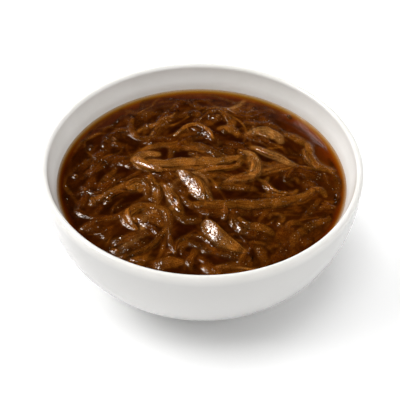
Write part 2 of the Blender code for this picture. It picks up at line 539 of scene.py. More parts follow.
@dataclass(frozen=True)
class PaleTable:
    """A smooth, matt white table top, which only carries the bowl's shadow.

    It is lit from below, as a studio sweep is: a little round the bowl, which keeps the shadow soft, and
    fully where the lights no longer reach.
    """

    top: str = "#FEFEFE"
    cloud: str = "#FCFCFC"
    cloud_size: float = 166.7 * MM
    roughness: float = 0.9
    level: float = 0.1
    lit_from: float = 0.7
    lit_to: float = 2.4
    lift_from: float = 0.045
    lift_to: float = 0.13
    lift: float = 0.17

    def material(self) -> bpy.types.Material:
        """Builds the node material."""
        material, tree, shader = new_material("matt_white_laminate")
        place = add_node(tree, "ShaderNodeTexCoord").outputs["Object"]
        cloud = add_node(tree, "ShaderNodeTexNoise", {"Vector": place, "Scale": 1 / self.cloud_size})
        tone = add_ramp(tree, cloud.outputs["Fac"], {0.3: self.cloud, 0.7: self.top})
        away = add_node(tree, "ShaderNodeVectorMath", {0: place}, operation="LENGTH").outputs["Value"]
        far = add_node(
            tree, "ShaderNodeMapRange", {"Value": away, "From Min": self.lit_from, "From Max": self.lit_to}
        )
        near = add_node(
            tree,
            "ShaderNodeMapRange",
            {"Value": away, "From Min": self.lift_from, "From Max": self.lift_to, "To Max": self.lift},
        )
        glow = add_node(
            tree, "ShaderNodeMath", {0: far.outputs["Result"], 1: near.outputs["Result"]}, operation="ADD"
        )
        shader.inputs["Emission Color"].default_value = linear(self.top)
        tree.links.new(glow.outputs["Value"], shader.inputs["Emission Strength"])
        shader.inputs["Roughness"].default_value = self.roughness
        shader.inputs["Specular IOR Level"].default_value = self.level
        tree.links.new(tone.outputs["Color"], shader.inputs["Base Color"])
        return material


# ---------------------------------------------------------------------------------------------- bowl


@dataclass
class Bowl:
    """The turned porcelain bowl. Its sizes are those of the solid it replaces."""

    radius: float = 80.0 * MM
    height: float = 60.0 * MM
    lip: float = 1.75 * MM
    foot_height: float = 2.5 * MM
    foot_radius: float = 36.5 * MM
    foot_width: float = 4.0 * MM
    base_radius: float = 37.6 * MM
    fullness: float = 2.24
    wall: float = 6.3 * MM
    wall_thickens_over: float = 11.0 * MM
    turn_steps: int = 176
    wall_points: int = 34
    lip_points: int = 12
    foot_rounding: float = 0.9 * MM
    wall_checks: int = 600
    finish: GlazedPorcelain = field(default_factory=GlazedPorcelain)

    @property
    def lip_middle(self) -> float:
        """Height of the middle of the lip's rounding."""
        return self.height - self.lip

    def outside(self, share: float) -> tuple[float, float, float, float]:
        """Gives a place on the outer wall.

        Args:
            share: 0 at the lip, 1 at the base.

        Returns:
            Radius, height, and the outward normal's two parts.
        """
        angle = share * math.pi / 2
        power = 2 / self.fullness
        across = self.radius - self.base_radius
        down = self.lip_middle - self.foot_height
        radius = self.base_radius + across * math.cos(angle) ** power
        height = self.lip_middle - down * math.sin(angle) ** power
        lean = 2 * (self.fullness - 1) / self.fullness
        out, drop = math.cos(angle) ** lean / across, math.sin(angle) ** lean / down
        size = math.hypot(out, drop)
        return radius, height, out / size, -drop / size

    def thickness(self, height: float) -> float:
        """Gives the wall's thickness at a height: as the lip at the top, fuller below it."""
        share = min(1.0, max(0.0, (self.lip_middle - height) / self.wall_thickens_over))
        return 2 * self.lip + (self.wall - 2 * self.lip) * share * share * (3 - 2 * share)

    def inside(self, share: float) -> tuple[float, float]:
        """Gives (radius, height) of a place on the inner wall, 0 at the lip and 1 at the base."""
        radius, height, out, up = self.outside(share)
        inset = self.thickness(height)
        return max(0.0, radius - out * inset), height - up * inset

    def inner_radius(self, height: float) -> float:
        """Gives the hollow's radius at a height above its floor."""
        walls = [self.inside(i / self.wall_checks) for i in range(self.wall_checks + 1)][::-1]
        return float(np.interp(height, [w[1] for w in walls], [w[0] for w in walls]))

    def half_section(self) -> list[tuple[float, float]]:
        """Gives the half section, up the inside, over the lip, down the outside and under the foot."""
        shares = [i / self.wall_points for i in range(self.wall_points + 1)]
        inner = [self.inside(share) for share in reversed(shares)]
        points = [(0.0, inner[0][1])] + inner
        for i in range(1, self.lip_points):
            angle = math.pi * (1 - i / self.lip_points)
            radius = self.radius - self.lip + self.lip * math.cos(angle)
            points.append((radius, self.lip_middle + self.lip * math.sin(angle)))
        points += [self.outside(share)[:2] for share in shares]
        inner_foot, soft = self.foot_radius - self.foot_width, self.foot_rounding
        for turn in (0.25, 0.5, 0.75, 1.0):
            lean = turn * math.pi / 2
            points.append((self.foot_radius - soft * (1 - math.cos(lean)), soft * (1 - math.sin(lean))))
        for turn in (0.0, 0.25, 0.5, 0.75):
            lean = turn * math.pi / 2
            points.append((inner_foot + soft * (1 - math.sin(lean)), soft * (1 - math.cos(lean))))
        points += [(inner_foot - 0.5 * soft, self.foot_height), (0.0, self.foot_height)]
        return points

    def build(self) -> bpy.types.Object:
        """Draws the half section point by point and spins it into the bowl."""
        start_clean()
        section = self.half_section()
        bpy.ops.mesh.primitive_plane_add(size=1 * MM, location=(section[0][0], 0.0, section[0][1]))
        piece = bpy.context.object
        bpy.ops.object.transform_apply(location=True, rotation=True, scale=True)
        bpy.ops.object.mode_set(mode="EDIT")
        bpy.ops.mesh.merge(type="CENTER")
        for (r0, z0), (r1, z1) in zip(section, section[1:]):
            bpy.ops.mesh.extrude_vertices_move(TRANSFORM_OT_translate={"value": (r1 - r0, 0.0, z1 - z0)})
        bpy.ops.mesh.select_all(action="SELECT")
        bpy.ops.mesh.spin(steps=self.turn_steps, angle=2 * math.pi, center=(0, 0, 0), axis=(0, 0, 1))
        bpy.ops.mesh.select_all(action="SELECT")
        bpy.ops.mesh.remove_doubles(threshold=0.01 * MM)
        face_outwards()
        place = np.array([v.co for v in piece.data.vertices])
        radius, height = np.hypot(place[:, 0], place[:, 1]), place[:, 2]
        walls = [self.inside(i / 200) for i in range(201)][::-1]
        hollow = np.interp(height, [w[1] for w in walls], [w[0] for w in walls])
        # Painted shade: marks the outer wall, which the finish paints darker, fading out towards the lip.
        outward = np.where(height < walls[0][1], 1.0, np.clip((radius - hollow) / self.lip - 1.0, 0, 1))
        outward *= np.clip((self.height - height) / (3 * self.lip), 0, 1)
        face = piece.data.attributes.new("painted_shade_outer_face", "FLOAT", "POINT")
        face.data.foreach_set("value", outward.astype(np.float32))
        settle(piece, "porcelain_bowl", self.finish.material())
        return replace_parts(piece, "bowl")


# -------------------------------------------------------------------------------------------- onions


class Cut(Enum):
    """How a strand was cut from the onion: its width and thickness in millimetres."""

    SHEET = (8.8, 0.9)
    LEAF = (7.0, 0.9)
    RIBBON = (5.0, 0.9)
    STRAND = (3.3, 0.9)
    THREAD = (1.7, 0.8)
    HAIR = (0.8, 0.5)


SHEET, LEAF, RIBBON, STRAND, THREAD, HAIR = Cut


@dataclass
class Strand:
    """One onion strand: a route in plan, and how it lies.

    Lengths are in millimetres here, with x to the right, y to the back and heights over the broth.

    Attributes:
        route: the points that its middle line runs through.
        cut: its width and thickness.
        lift: how high it floats where nothing holds it up.
        roll: how far it leans over to its right, in degrees.
        twist: how much the roll changes from its start to its end, in degrees.
        arch: how much its section is curved, as the onion's layers are.
        tip: its width at the ends, as a share of its full width.
        peak: where along it the full width is.
        droop: how far its ends sink.
        fall: how much lower its end lies than its start.
        rough: how uneven its edges and its lie are.
        loose: whether it sinks in the gaps where the broth shows.
        tint: how pale it is, from well browned at 0 to pale at 1.
        phase: sets its waves apart from the other strands'.
        clearness: how much of what lies beneath shows through its middle.
        LEAN: how far its roll wanders, in degrees.
        RAGGED: how far its edges wander, as a share of half its width.
        VEIN: height of the broad veins along it.
        EVEN, PALE_EDGE, PATCHY: its lightness all over, more at its edges, and more and less along it.
        EDGE_CLEARNESS: how much of what lies beneath shows through its edges.
    """

    LEAN: ClassVar[float] = 9
    RAGGED: ClassVar[float] = 0.24
    VEIN: ClassVar[float] = 0.07
    EVEN: ClassVar[float] = 0.85
    PALE_EDGE: ClassVar[float] = 0.29
    PATCHY: ClassVar[float] = 0.39
    EDGE_CLEARNESS: ClassVar[float] = 0.85

    route: Route
    cut: Cut = STRAND
    lift: float = 0.6
    roll: float = 0.0
    twist: float = 0.0
    arch: float = 0.1
    tip: float = 0.3
    peak: float = 0.5
    droop: float = 1.3
    fall: float = 0.0
    rough: float = 1.0
    loose: bool = False
    tint: float = 0.5
    phase: float = 0.0
    clearness: float = 0.42
    backing: np.ndarray = field(init=False)
    beneath: np.ndarray = field(init=False)
    centre: np.ndarray = field(init=False)
    heading: np.ndarray = field(init=False)
    height: np.ndarray = field(init=False)

    def __post_init__(self) -> None:
        """Works out the route at even steps."""
        corners = np.array(self.route, float)
        ends = np.vstack([2 * corners[0] - corners[1], corners, 2 * corners[-1] - corners[-2]])
        t = np.linspace(0, 1, 24, endpoint=False)[:, None]
        # Between each two points runs a smooth curve that heads for the next.
        bits = []
        for a, b, c, d in zip(ends, ends[1:], ends[2:], ends[3:]):
            square, cube = 2 * a - 5 * b + 4 * c - d, 3 * b - a - 3 * c + d
            bits.append(0.5 * (2 * b + (c - a) * t + square * t**2 + cube * t**3))
        fine = np.vstack(bits + [corners[-1:]])
        run = np.r_[0, np.cumsum(np.linalg.norm(np.diff(fine, axis=0), axis=1))]
        self.length = float(run[-1])
        steps = np.linspace(0, self.length, max(8, round(self.length)) + 1)
        self.centre = np.stack([np.interp(steps, run, fine[:, i]) for i in (0, 1)], axis=1)
        along = np.gradient(self.centre, axis=0)
        self.heading = along / np.linalg.norm(along, axis=1, keepdims=True)
        self.height = np.full(len(steps), self.lift)
        self.backing = np.ones(len(steps))
        self.beneath = np.zeros((len(steps), 5, 3))

    def waver(self, share: np.ndarray, salt: float) -> np.ndarray:
        """Gives an uneven wave of about -1 to 1 along the strand, different for each salt."""
        s = share * self.length
        p = self.phase * 2.3 + salt
        return 0.5 * np.sin(s * 0.45 + p) + 0.3 * np.sin(s * 0.93 + 2.1 * p) + 0.2 * np.sin(s * 1.7 + 3.7 * p)

    def half_width(self, share: np.ndarray) -> np.ndarray:
        """Gives half the width along the strand, narrowing to its tips."""
        skewed = np.clip(share, 0, 1) ** (math.log(0.5) / math.log(self.peak))
        taper = self.tip + (1 - self.tip) * np.sin(np.pi * skewed) ** 0.6
        return 0.5 * self.cut.value[0] * taper

    def thickness(self, share: np.ndarray) -> np.ndarray:
        """Gives the thickness along the strand."""
        return self.cut.value[1] * (0.4 + 0.6 * np.sin(np.pi * np.clip(share, 0, 1)) ** 0.5)

    def surface(self, share: np.ndarray, angle: np.ndarray) -> np.ndarray:
        """Gives points of the strand's skin.

        Args:
            share: place along the strand, 0 to 1.
            angle: place round its section, 0 at one edge and a quarter turn on top.

        Returns:
            One point for each pair, in millimetres.
        """
        at = np.clip(share, 0, 1) * (len(self.centre) - 1)
        grid = np.arange(len(self.centre))
        x, y, z = (np.interp(at, grid, c) for c in (self.centre[:, 0], self.centre[:, 1], self.height))
        hx, hy = (np.interp(at, grid, self.heading[:, i]) for i in (0, 1))
        slope = np.interp(at, grid, np.gradient(self.height, self.length / (len(self.centre) - 1)))
        size = np.sqrt(hx**2 + hy**2)
        hx, hy = hx / size, hy / size
        lean = self.roll + self.twist * (share - 0.5) + self.LEAN * self.rough * self.waver(share, 0.5)
        tilt = np.radians(lean)
        wide, thick = self.half_width(share), self.thickness(share)
        side = np.sign(np.cos(angle)) * np.abs(np.cos(angle)) ** 0.75
        rise = np.sign(np.sin(angle)) * np.abs(np.sin(angle)) ** 0.7
        edge = np.where(side > 0, self.waver(share, 1.9), self.waver(share, 4.4))
        across = side * wide * (1 + self.RAGGED * self.rough * edge)
        grooves = np.cos(side * wide * 3.4 + 1.2 * self.waver(share, 3.0))
        veins = self.VEIN * self.rough * grooves * (1 - side**2)
        up = rise * thick / 2 + self.arch * wide * (0.4 - side**2) + np.clip(rise, 0, 1) * veins
        level = across * np.cos(tilt) - up * np.sin(tilt)
        lifted = across * np.sin(tilt) + up * np.cos(tilt)
        back = -slope * lifted / np.sqrt(1 + slope**2)
        return np.stack([x - hy * level + hx * back, y + hx * level + hy * back, z + lifted], axis=1)

    def run(self, share: np.ndarray, angle: np.ndarray) -> np.ndarray:
        """Gives each place's distance along and across the strand, in millimetres, for its ribs."""
        across = np.abs(angle) / math.pi * self.cut.value[0] * 1.1
        return np.stack([share * self.length + 60 * self.phase, across + 10 * self.phase], axis=1)

    def tone(self, share: np.ndarray, angle: np.ndarray, flesh: np.ndarray) -> np.ndarray:
        """Gives the strand's colour, for the same places as surface.

        The half-clear flesh lets what lies beneath show through, most of all at its thin edges. It is
        lighter where more onion lies close below it.

        Args:
            share: place along the strand, 0 to 1.
            angle: place round its section.
            flesh: its linear colour.

        Returns:
            A linear colour for each place.
        """
        at = np.clip(share, 0, 1) * (len(self.centre) - 1)
        backed = np.interp(at, np.arange(len(self.centre)), self.backing)
        edge = np.abs(np.cos(angle)) ** 6
        lit = backed * (self.EVEN + self.PALE_EDGE * edge + self.PATCHY * self.waver(share, 6.1))
        across = (np.cos(angle) + 1) * 2
        row, column = at.round().astype(int), across.round().astype(int)
        thin = np.abs(np.cos(angle)) ** 4
        clear = (self.clearness + (self.EDGE_CLEARNESS - self.clearness) * thin)[:, None]
        return flesh * lit[:, None] * (1 - clear) + self.beneath[row, column] * clear


@dataclass
class Relief:
    """A plan of the soup, cell by cell: how high the strands reach, and their colour there.

    Lengths are in millimetres.

    Attributes:
        reach: half the plan's side.
        cell: a cell's side.
        floor: how low the pile starts.
        ceiling: how high a strand may ride.
        sag: over what length a strand bends as it rides over others.
        clear_depth: how deep the broth lets two thirds of a strand's colour fade.
        gap_depth: how deep the gaps are.
        end_length: how far from its ends a strand droops.
        bedding: how high a strand's middle stands over its bed, as a share of its thickness.
        ride: how far over its own lift a strand may ride.
        uneven: how far a rough strand rises and falls.
        backed: how much lighter a strand is where more onion lies close below it.
        backing_depth: how far below it that onion still counts.
        mark_step: how close together its skin is marked in the plan, along it.
        mark_sides: how many marks there are from edge to edge.
        overlap: how much higher a strand must be to cover another.
        gaps: where the broth shows between the strands: x, y, half width and half depth of each gap.
    """

    reach: float = 75.0
    cell: float = 0.33
    floor: float = -7.0
    ceiling: float = 2.2
    sag: float = 2.4
    clear_depth: float = 1.9
    gap_depth: float = 2.2
    end_length: float = 4.5
    bedding: float = 0.3
    ride: float = 0.6
    uneven: float = 0.3
    backed: float = 0.34
    backing_depth: float = 1.3
    mark_step: float = 0.16
    mark_sides: int = 40
    overlap: float = 0.02
    gaps: tuple[tuple[float, float, float, float], ...] = (
        (10, -13, 9, 3), (41, -2, 7, 5), (52, -18, 5, 4), (-32, -14, 5, 4), (8, -56, 7, 3), (-8, -36, 4, 5),
        (48, 27, 5, 4), (18, 29, 6, 3), (-9, 44, 5, 3), (52, 42, 12, 8), (-40, -35, 6, 4), (-50, 2, 5, 4),
        (0, 76, 45, 7),
    )

    def __post_init__(self) -> None:
        """Starts with no strand laid."""
        self.count = 2 * round(self.reach / self.cell) + 1
        self.cell = 2 * self.reach / (self.count - 1)
        self.top = np.full((self.count, self.count), self.floor)
        self.colour = np.zeros((self.count, self.count, 3))
        self.run = np.zeros((self.count, self.count, 2))

    def dip(self, points: np.ndarray) -> np.ndarray:
        """Gives how far strands sink in the gaps where the broth shows, in millimetres."""
        sunk = np.zeros(len(points))
        for x, y, wide, deep in self.gaps:
            away = ((points[:, 0] - x) / wide) ** 2 + ((points[:, 1] - y) / deep) ** 2
            sunk = np.maximum(sunk, self.gap_depth * np.exp(-0.7 * away**2))
        return sunk

    def places(self) -> tuple[np.ndarray, np.ndarray]:
        """Gives the x and the y of every cell, in millimetres."""
        axis = np.linspace(-self.reach, self.reach, self.count)
        x, y = np.meshgrid(axis, axis)
        return x, y

    def around(self, values: np.ndarray) -> np.ndarray:
        """Adds up the four neighbours of every cell, where a cell at the border is its own neighbour."""
        edge = np.pad(values, 1, mode="edge")
        return edge[2:, 1:-1] + edge[:-2, 1:-1] + edge[1:-1, 2:] + edge[1:-1, :-2]

    def cells(self, points: np.ndarray) -> tuple[np.ndarray, np.ndarray]:
        """Gives the row and column of each point in plan."""
        found = np.rint((points[..., :2] + self.reach) / self.cell).astype(int)
        found = np.clip(found, 0, self.count - 1)
        return found[..., 1], found[..., 0]

    def sample(self, values: np.ndarray, points: np.ndarray) -> np.ndarray:
        """Reads a plan between its cells.

        Args:
            values: the plan, of one number or colour for each cell.
            points: where to read it, in millimetres.

        Returns:
            One value for each point.
        """
        at = np.clip((points[:, :2] + self.reach) / self.cell, 0, self.count - 1.001)
        low = at.astype(int)
        part = at - low
        c, r = low[:, 0], low[:, 1]
        u, v = part[:, 0], part[:, 1]
        if values.ndim == 3:
            u, v = u[:, None], v[:, None]
        return (
            values[r, c] * (1 - u) * (1 - v)
            + values[r, c + 1] * u * (1 - v)
            + values[r + 1, c] * (1 - u) * v
            + values[r + 1, c + 1] * u * v
        )

    def lay(self, strand: Strand, flesh: np.ndarray) -> None:
        """Lets a strand down on what lies there, and adds it to the plan.

        Args:
            strand: the strand, whose height along its route is set here.
            flesh: its linear colour.
        """
        shares = np.linspace(0, 1, len(strand.centre))
        wide, thick = strand.half_width(shares), strand.thickness(shares)
        beside = np.stack([-strand.heading[:, 1], strand.heading[:, 0]], axis=1)
        sides = np.array([-0.8, -0.4, 0.0, 0.4, 0.8])
        spots = strand.centre[:, None] + beside[:, None] * (sides * wide[:, None])[..., None]
        r, c = self.cells(spots)
        # What lies beneath shows through, fainter the deeper it is.
        depth = strand.lift - self.top[r, c]
        strand.beneath = self.colour[r, c] * np.exp(-np.clip(depth, 0, None) / self.clear_depth)[..., None]
        # It rests on the highest of what is below it, and droops at its ends.
        bed = np.sort(self.top[r, c], axis=1)[:, 2:].mean(axis=1)
        ends = np.exp(-np.minimum(shares, 1 - shares) * strand.length / self.end_length)
        wish = strand.lift - strand.droop * ends + self.uneven * strand.rough * strand.waver(shares, 2.7)
        wish = wish - strand.fall * (shares - 0.5)
        if strand.loose:
            wish = wish - self.dip(strand.centre)
        raw = np.maximum(bed + self.bedding * thick, wish)
        reach = round(4 * self.sag)
        pad = np.pad(raw, reach, mode="edge")
        kernel = np.exp(-0.5 * (np.arange(-reach, reach + 1) / self.sag) ** 2)
        smooth = np.convolve(pad, kernel / kernel.sum(), mode="valid")
        highest = min(self.ceiling, strand.lift + self.ride)
        strand.height = np.minimum(smooth, highest)
        space = np.clip(strand.height - 0.5 * thick - bed, 0, None)
        strand.backing = 1 - self.backed + self.backed * np.exp(-space / self.backing_depth)
        # Its skin is marked in the plan, point by point, the highest last.
        share, angle = np.meshgrid(
            np.linspace(0, 1, round(strand.length / self.mark_step)),
            np.linspace(0.04, math.pi - 0.04, self.mark_sides),
        )
        share, angle = share.ravel(), angle.ravel()
        skin = strand.surface(share, angle)
        order = np.argsort(skin[:, 2])
        skin, share, angle = skin[order], share[order], angle[order]
        r, c = self.cells(skin)
        higher = skin[:, 2] > self.top[r, c] + self.overlap
        r, c, share, angle = r[higher], c[higher], share[higher], angle[higher]
        self.top[r, c] = skin[higher, 2]
        self.colour[r, c] = strand.tone(share, angle, flesh)
        self.run[r, c] = strand.run(share, angle)


@dataclass(frozen=True)
class Layer:
    """Seeded strands that lie at about the same depth, and how they vary.

    Attributes:
        count: how many there are.
        lifts: the lowest and highest lift.
        cuts: the cuts that they are chosen from.
        lengths: the shortest and longest length.
        swing: how far their headings stray from their neighbours', in radians.
        bend: how far they turn from end to end, in radians.
        wander: how far each of their stretches strays, in radians.
        stretches: how many stretches a route has.
        roll: how far they lean over, in degrees.
        twist: how far they twist, in degrees.
        arches: the least and greatest curve of their sections.
        tint: how pale they are, and how much that varies.
    """

    count: int
    lifts: tuple[float, float]
    cuts: tuple[Cut, ...]
    lengths: tuple[float, float] = (20, 44)
    swing: float = 0.45
    bend: float = 0.9
    wander: float = 0.22
    stretches: int = 5
    roll: float = 10
    twist: float = 30
    arches: tuple[float, float] = (-0.25, 0.4)
    tint: tuple[float, float] = (0.42, 0.2)


@dataclass
class Onions:
    """All the strands: those that make the soup's face, and the seeded ones that lie under them.

    Attributes:
        radius: how far out the seeded strands lie, in millimetres.
        seed: what the chances start from.
        window_side: the side that a strand leans to when it mirrors the window.
        window_tilt: how far it leans over then.
        least_seen: strands that lie wholly below this height, in millimetres, are left out.
        phase_step: what sets each strand's waves apart from the last one's.
        end_heading: the heading that the short ends swing about, in degrees.
        end_swing: how far they swing, in degrees.
        fine, plain, coarse, slight: rings and sides of the strands in each group.
        tints, tones: the flesh's colours, from well browned to pale.
        rib_shade: makes up for the light that the ribs take from the flesh.
    """

    radius: float = 68.0
    seed: int = 11
    window_side: float = math.radians(221)
    window_tilt: float = math.radians(19)
    least_seen: float = -2.4
    phase_step: float = 1.7
    end_heading: float = -49
    end_swing: float = 22
    deep: Layer = Layer(90, (-5.0, -3.2), (RIBBON, STRAND, STRAND, THREAD))
    middle: Layer = Layer(120, (-2.8, -1.2), (RIBBON, STRAND, STRAND, THREAD))
    high: Layer = Layer(200, (-1.6, -0.3), (STRAND, THREAD, THREAD))
    hairs: Layer = Layer(70, (-1.1, -0.2), (HAIR,))
    fine: tuple[int, int] = (36, 10)
    plain: tuple[int, int] = (18, 7)
    coarse: tuple[int, int] = (10, 6)
    slight: tuple[int, int] = (16, 5)
    finish: CookedOnion = field(default_factory=CookedOnion)
    tints: tuple[float, ...] = (0.2, 0.45, 0.6, 0.78, 0.95)
    tones: tuple[str, ...] = ("#3A1702", "#4A2304", "#5E330B", "#865018", "#986A38")
    rib_shade: tuple[float, float, float] = (2.34, 2.6, 2.7)
    strands: list[Strand] = field(default_factory=list)
    groups: list[tuple[list[Strand], tuple[int, int]]] = field(default_factory=list)

    def flesh(self, tint: float) -> np.ndarray:
        """Gives a strand's linear colour, from well browned at 0 to pale at 1."""
        stops = np.array([linear(tone)[:3] for tone in self.tones])
        tone = np.array([np.interp(tint, self.tints, stops[:, i]) for i in range(3)])
        return tone * np.array(self.rib_shade)

    def face(self) -> list[Strand]:
        """Gives the strands that make the soup's face, lowest first, but for the proudest ones."""
        areas = (self.veils, self.at_back, self.behind_middle, self.at_left, self.in_middle)
        areas += (self.at_right, self.at_front, self.bright_edges)
        return [strand for area in areas for strand in area()]

    def veils(self) -> list[Strand]:
        """Gives the veils in the broth, at the back and the sides."""
        return [
            Strand([(-46, 40), (-41, 45), (-38, 50), (-33, 56)], RIBBON, lift=-1.2, tint=0.4),
            Strand([(-27, 58), (-30, 51), (-33, 44), (-31, 36)], LEAF, lift=-1.3, tint=0.4),
            Strand([(-34, 57), (-24, 61), (-13, 63.5), (-2, 64)], THREAD, lift=-1.2, tint=0.45),
            Strand([(-6, 62), (4, 64), (14, 62.5), (24, 61), (32, 58)], THREAD, lift=-1.1, tint=0.45),
            Strand([(10, 59), (18, 62), (28, 60.5), (38, 56), (46, 50)], THREAD, lift=-1.2, tint=0.4),
            Strand([(40, 47), (47, 45), (54, 39), (60, 31)], THREAD, lift=-1.2, tint=0.4),
            Strand([(-13, 66), (-15, 60), (-18, 55), (-22, 49), (-25, 43)], THREAD, lift=-0.8, tint=0.5),
            Strand([(-9, 65), (-6, 59), (-1, 57), (5, 58)], THREAD, lift=-0.9, tint=0.5),
            Strand([(-30, 48), (-24, 53), (-15, 55), (-6, 57)], STRAND, lift=-1.3, tint=0.4),
            Strand([(17, 51), (20, 55), (26, 57), (33, 58), (40, 54)], STRAND, lift=-1.0, tint=0.4),
            Strand([(15, 54), (24, 53), (32, 53), (40, 50), (46, 45)], RIBBON, lift=-0.8, tint=0.35),
            Strand([(14, 44), (22, 48), (30, 48), (38, 46), (44, 41)], LEAF, lift=-0.8, tint=0.35),
            Strand([(-66, -3), (-62, 6), (-59, 14), (-54, 22)], LEAF, lift=-1.3, tint=0.3),
            Strand([(-65, -16), (-60, -12), (-56, -6), (-55, 2)], RIBBON, lift=-1.1, tint=0.3),
            Strand([(-61, -2), (-56, 4), (-54, 12), (-51, 18), (-46, 22)], RIBBON, lift=-0.5, tint=0.4),
            Strand([(-56, 15), (-52, 19), (-48, 24), (-43, 25), (-37, 22)], RIBBON, lift=-0.4, tint=0.4),
            Strand([(-64, -19), (-60, -25), (-54, -29), (-47, -31)], STRAND, lift=-0.7, tint=0.35),
            Strand([(-62, -33), (-56, -36), (-48, -37), (-41, -36)], LEAF, lift=-1.0, tint=0.35),
            Strand([(-52, -46), (-48, -41), (-42, -38), (-35, -38)], LEAF, lift=-0.7, tint=0.35),
            Strand([(60, -22), (63, -14), (64, -5), (62, 3)], RIBBON, lift=-1.0, tint=0.35),
            Strand([(40, -54), (45, -47), (51, -41), (57, -36)], RIBBON, lift=-0.9, tint=0.35),
            Strand([(34, -56), (38, -50), (43, -44), (46, -38)], LEAF, lift=-1.0, tint=0.3),
            Strand([(36, -44), (40, -38), (42, -31), (47, -26)], LEAF, lift=-0.8, tint=0.4),
            Strand([(46, -22), (52, -16), (55, -9), (54, -2)], LEAF, lift=-0.7, tint=0.4),
        ]

    def at_back(self) -> list[Strand]:
        """Gives the strands at the back."""
        return [
            Strand([(-50, 31), (-47, 35), (-43, 37), (-38, 36), (-35, 32)], STRAND, lift=-0.1, tint=0.5),
            Strand([(-52, 23), (-48, 29), (-44, 33), (-38, 34)], LEAF, lift=0.0, roll=14, tint=0.45),
            Strand([(-38, 47), (-38.5, 39), (-37, 33), (-32, 30), (-27, 31), (-20, 32)],
                   STRAND, lift=0.1, tint=0.6),
            Strand([(-25, 29), (-24, 36), (-21, 42), (-17, 47), (-11, 51)],
                   LEAF, lift=0.0, roll=12, tint=0.5),
            Strand([(-13, 49), (-8, 52), (-2, 51), (4, 48)], RIBBON, lift=0.0, tint=0.5),
            Strand([(-12, 44), (-6, 46), (0, 45), (6, 43)], RIBBON, lift=-0.6, tint=0.4),
            Strand([(0, 53), (3, 56), (9, 57), (14, 56), (18, 52)], THREAD, lift=0.1, tint=0.6),
            Strand([(2, 50), (5, 54), (9, 54), (12, 51), (12, 46)], STRAND, lift=0.2, tint=0.6),
            Strand([(3, 47), (7, 48), (9, 46)], LEAF, lift=0.5, roll=16, tip=0.8, tint=0.4),
            Strand([(12, 51), (15, 47), (15, 41), (13, 36)], RIBBON, lift=0.2, tint=0.65),
            Strand([(8, 39), (13, 40), (17, 37), (19, 33)], RIBBON, lift=0.3, roll=12, tint=0.72),
            Strand([(-13, 34), (-6, 38), (-2, 36), (2, 33), (6, 28)],
                   LEAF, lift=0.2, roll=18, tip=0.6, tint=0.3),
            Strand([(-15, 33), (-11, 37), (-7, 41), (-3, 42), (1, 39), (4, 35), (6, 30)],
                   STRAND, lift=0.8, tint=0.78),
            Strand([(22, 45), (30, 44), (37, 43), (42, 39), (46, 34), (51, 30)], STRAND, lift=-0.2, tint=0.5),
            Strand([(44, 36), (49, 33), (54, 29), (58, 24)], RIBBON, lift=0.0, tint=0.7),
            Strand([(23, 34), (29, 37), (35, 37), (40, 33), (41, 28)], LEAF, lift=0.3, roll=12, tint=0.88),
            Strand([(18, 33), (24, 34), (30, 31), (36, 27)], RIBBON, lift=-0.1, tint=0.35),
        ]

    def behind_middle(self) -> list[Strand]:
        """Gives the strands between the back and the middle."""
        return [
            Strand([(-40, 29), (-33, 26), (-27, 28), (-20, 29), (-13, 31)], RIBBON, lift=-0.4, tint=0.35),
            Strand([(-31, 21), (-26, 24), (-20, 25), (-15, 23)], STRAND, lift=0.2, roll=10, tint=0.6),
            Strand([(-30, 20), (-26, 16), (-20, 17)], LEAF, lift=-0.2, tint=0.3),
            Strand([(-17, 15), (-16, 20), (-14, 25), (-10, 29)], STRAND, lift=0.1, tint=0.6),
            Strand([(-13, 20), (-11, 25), (-6, 30), (0, 32)], RIBBON, lift=0.1, roll=8, tint=0.5),
            Strand([(-6, 27), (0, 24), (5, 21), (10, 17), (16, 16)], RIBBON, lift=0.5, roll=8, tint=0.6),
            Strand([(-7, 20), (-3, 17), (0, 15), (5, 16)], STRAND, lift=0.4, roll=10, tint=0.6),
            Strand([(10, 29), (15, 27), (21, 26), (26, 28)], RIBBON, lift=-0.4, tint=0.35),
            Strand([(7, 24), (13, 21), (19, 20), (25, 23)], RIBBON, lift=0.0, roll=8, tint=0.45),
        ]

    def at_left(self) -> list[Strand]:
        """Gives the strands at the left side."""
        return [
            Strand([(-56, 2), (-51, 8), (-48, 13), (-43, 14.5), (-37, 13), (-33, 8)],
                   STRAND, lift=0.1, tint=0.45),
            Strand([(-47, 8), (-43, 11), (-38, 10), (-33, 6)], RIBBON, lift=-0.5, tint=0.35),
            Strand([(-52, -9), (-49, -3), (-46, 2), (-44, 7)], STRAND, lift=0.3, tint=0.55),
            Strand([(-56, -22), (-52, -14), (-48, -8), (-44, -2), (-39, 3)], RIBBON, lift=0.1, tint=0.45),
            Strand([(-41, -4), (-36, 0), (-31, 5), (-27, 9)], THREAD, lift=0.3, tint=0.5),
            Strand([(-39, -6), (-34, -2), (-28, 2), (-22, 5)], THREAD, lift=0.2, tint=0.4),
            Strand([(-55, -21), (-52, -17), (-47, -13), (-42, -9), (-38, -4)],
                   RIBBON, lift=0.6, roll=-14, tint=0.66),
            Strand([(-48, -20), (-45, -15), (-40, -11), (-35, -8)], STRAND, lift=0.6, roll=-10, tint=0.5),
            Strand([(-61, -8), (-58, -10), (-54, -13), (-50, -12)], STRAND, lift=0.3, roll=14, tint=0.4),
            Strand([(-60, -24), (-58, -17), (-57, -12)], STRAND, lift=0.1, tint=0.4),
            Strand([(-37, -9), (-33, -6), (-29, -9)], LEAF, lift=0.5, roll=-6, tip=0.7, tint=0.75),
            Strand([(-39, -10), (-36, -4), (-32, -2.5), (-28, -5), (-27, -11), (-27, -17)],
                   STRAND, lift=0.5, tint=0.6),
        ]

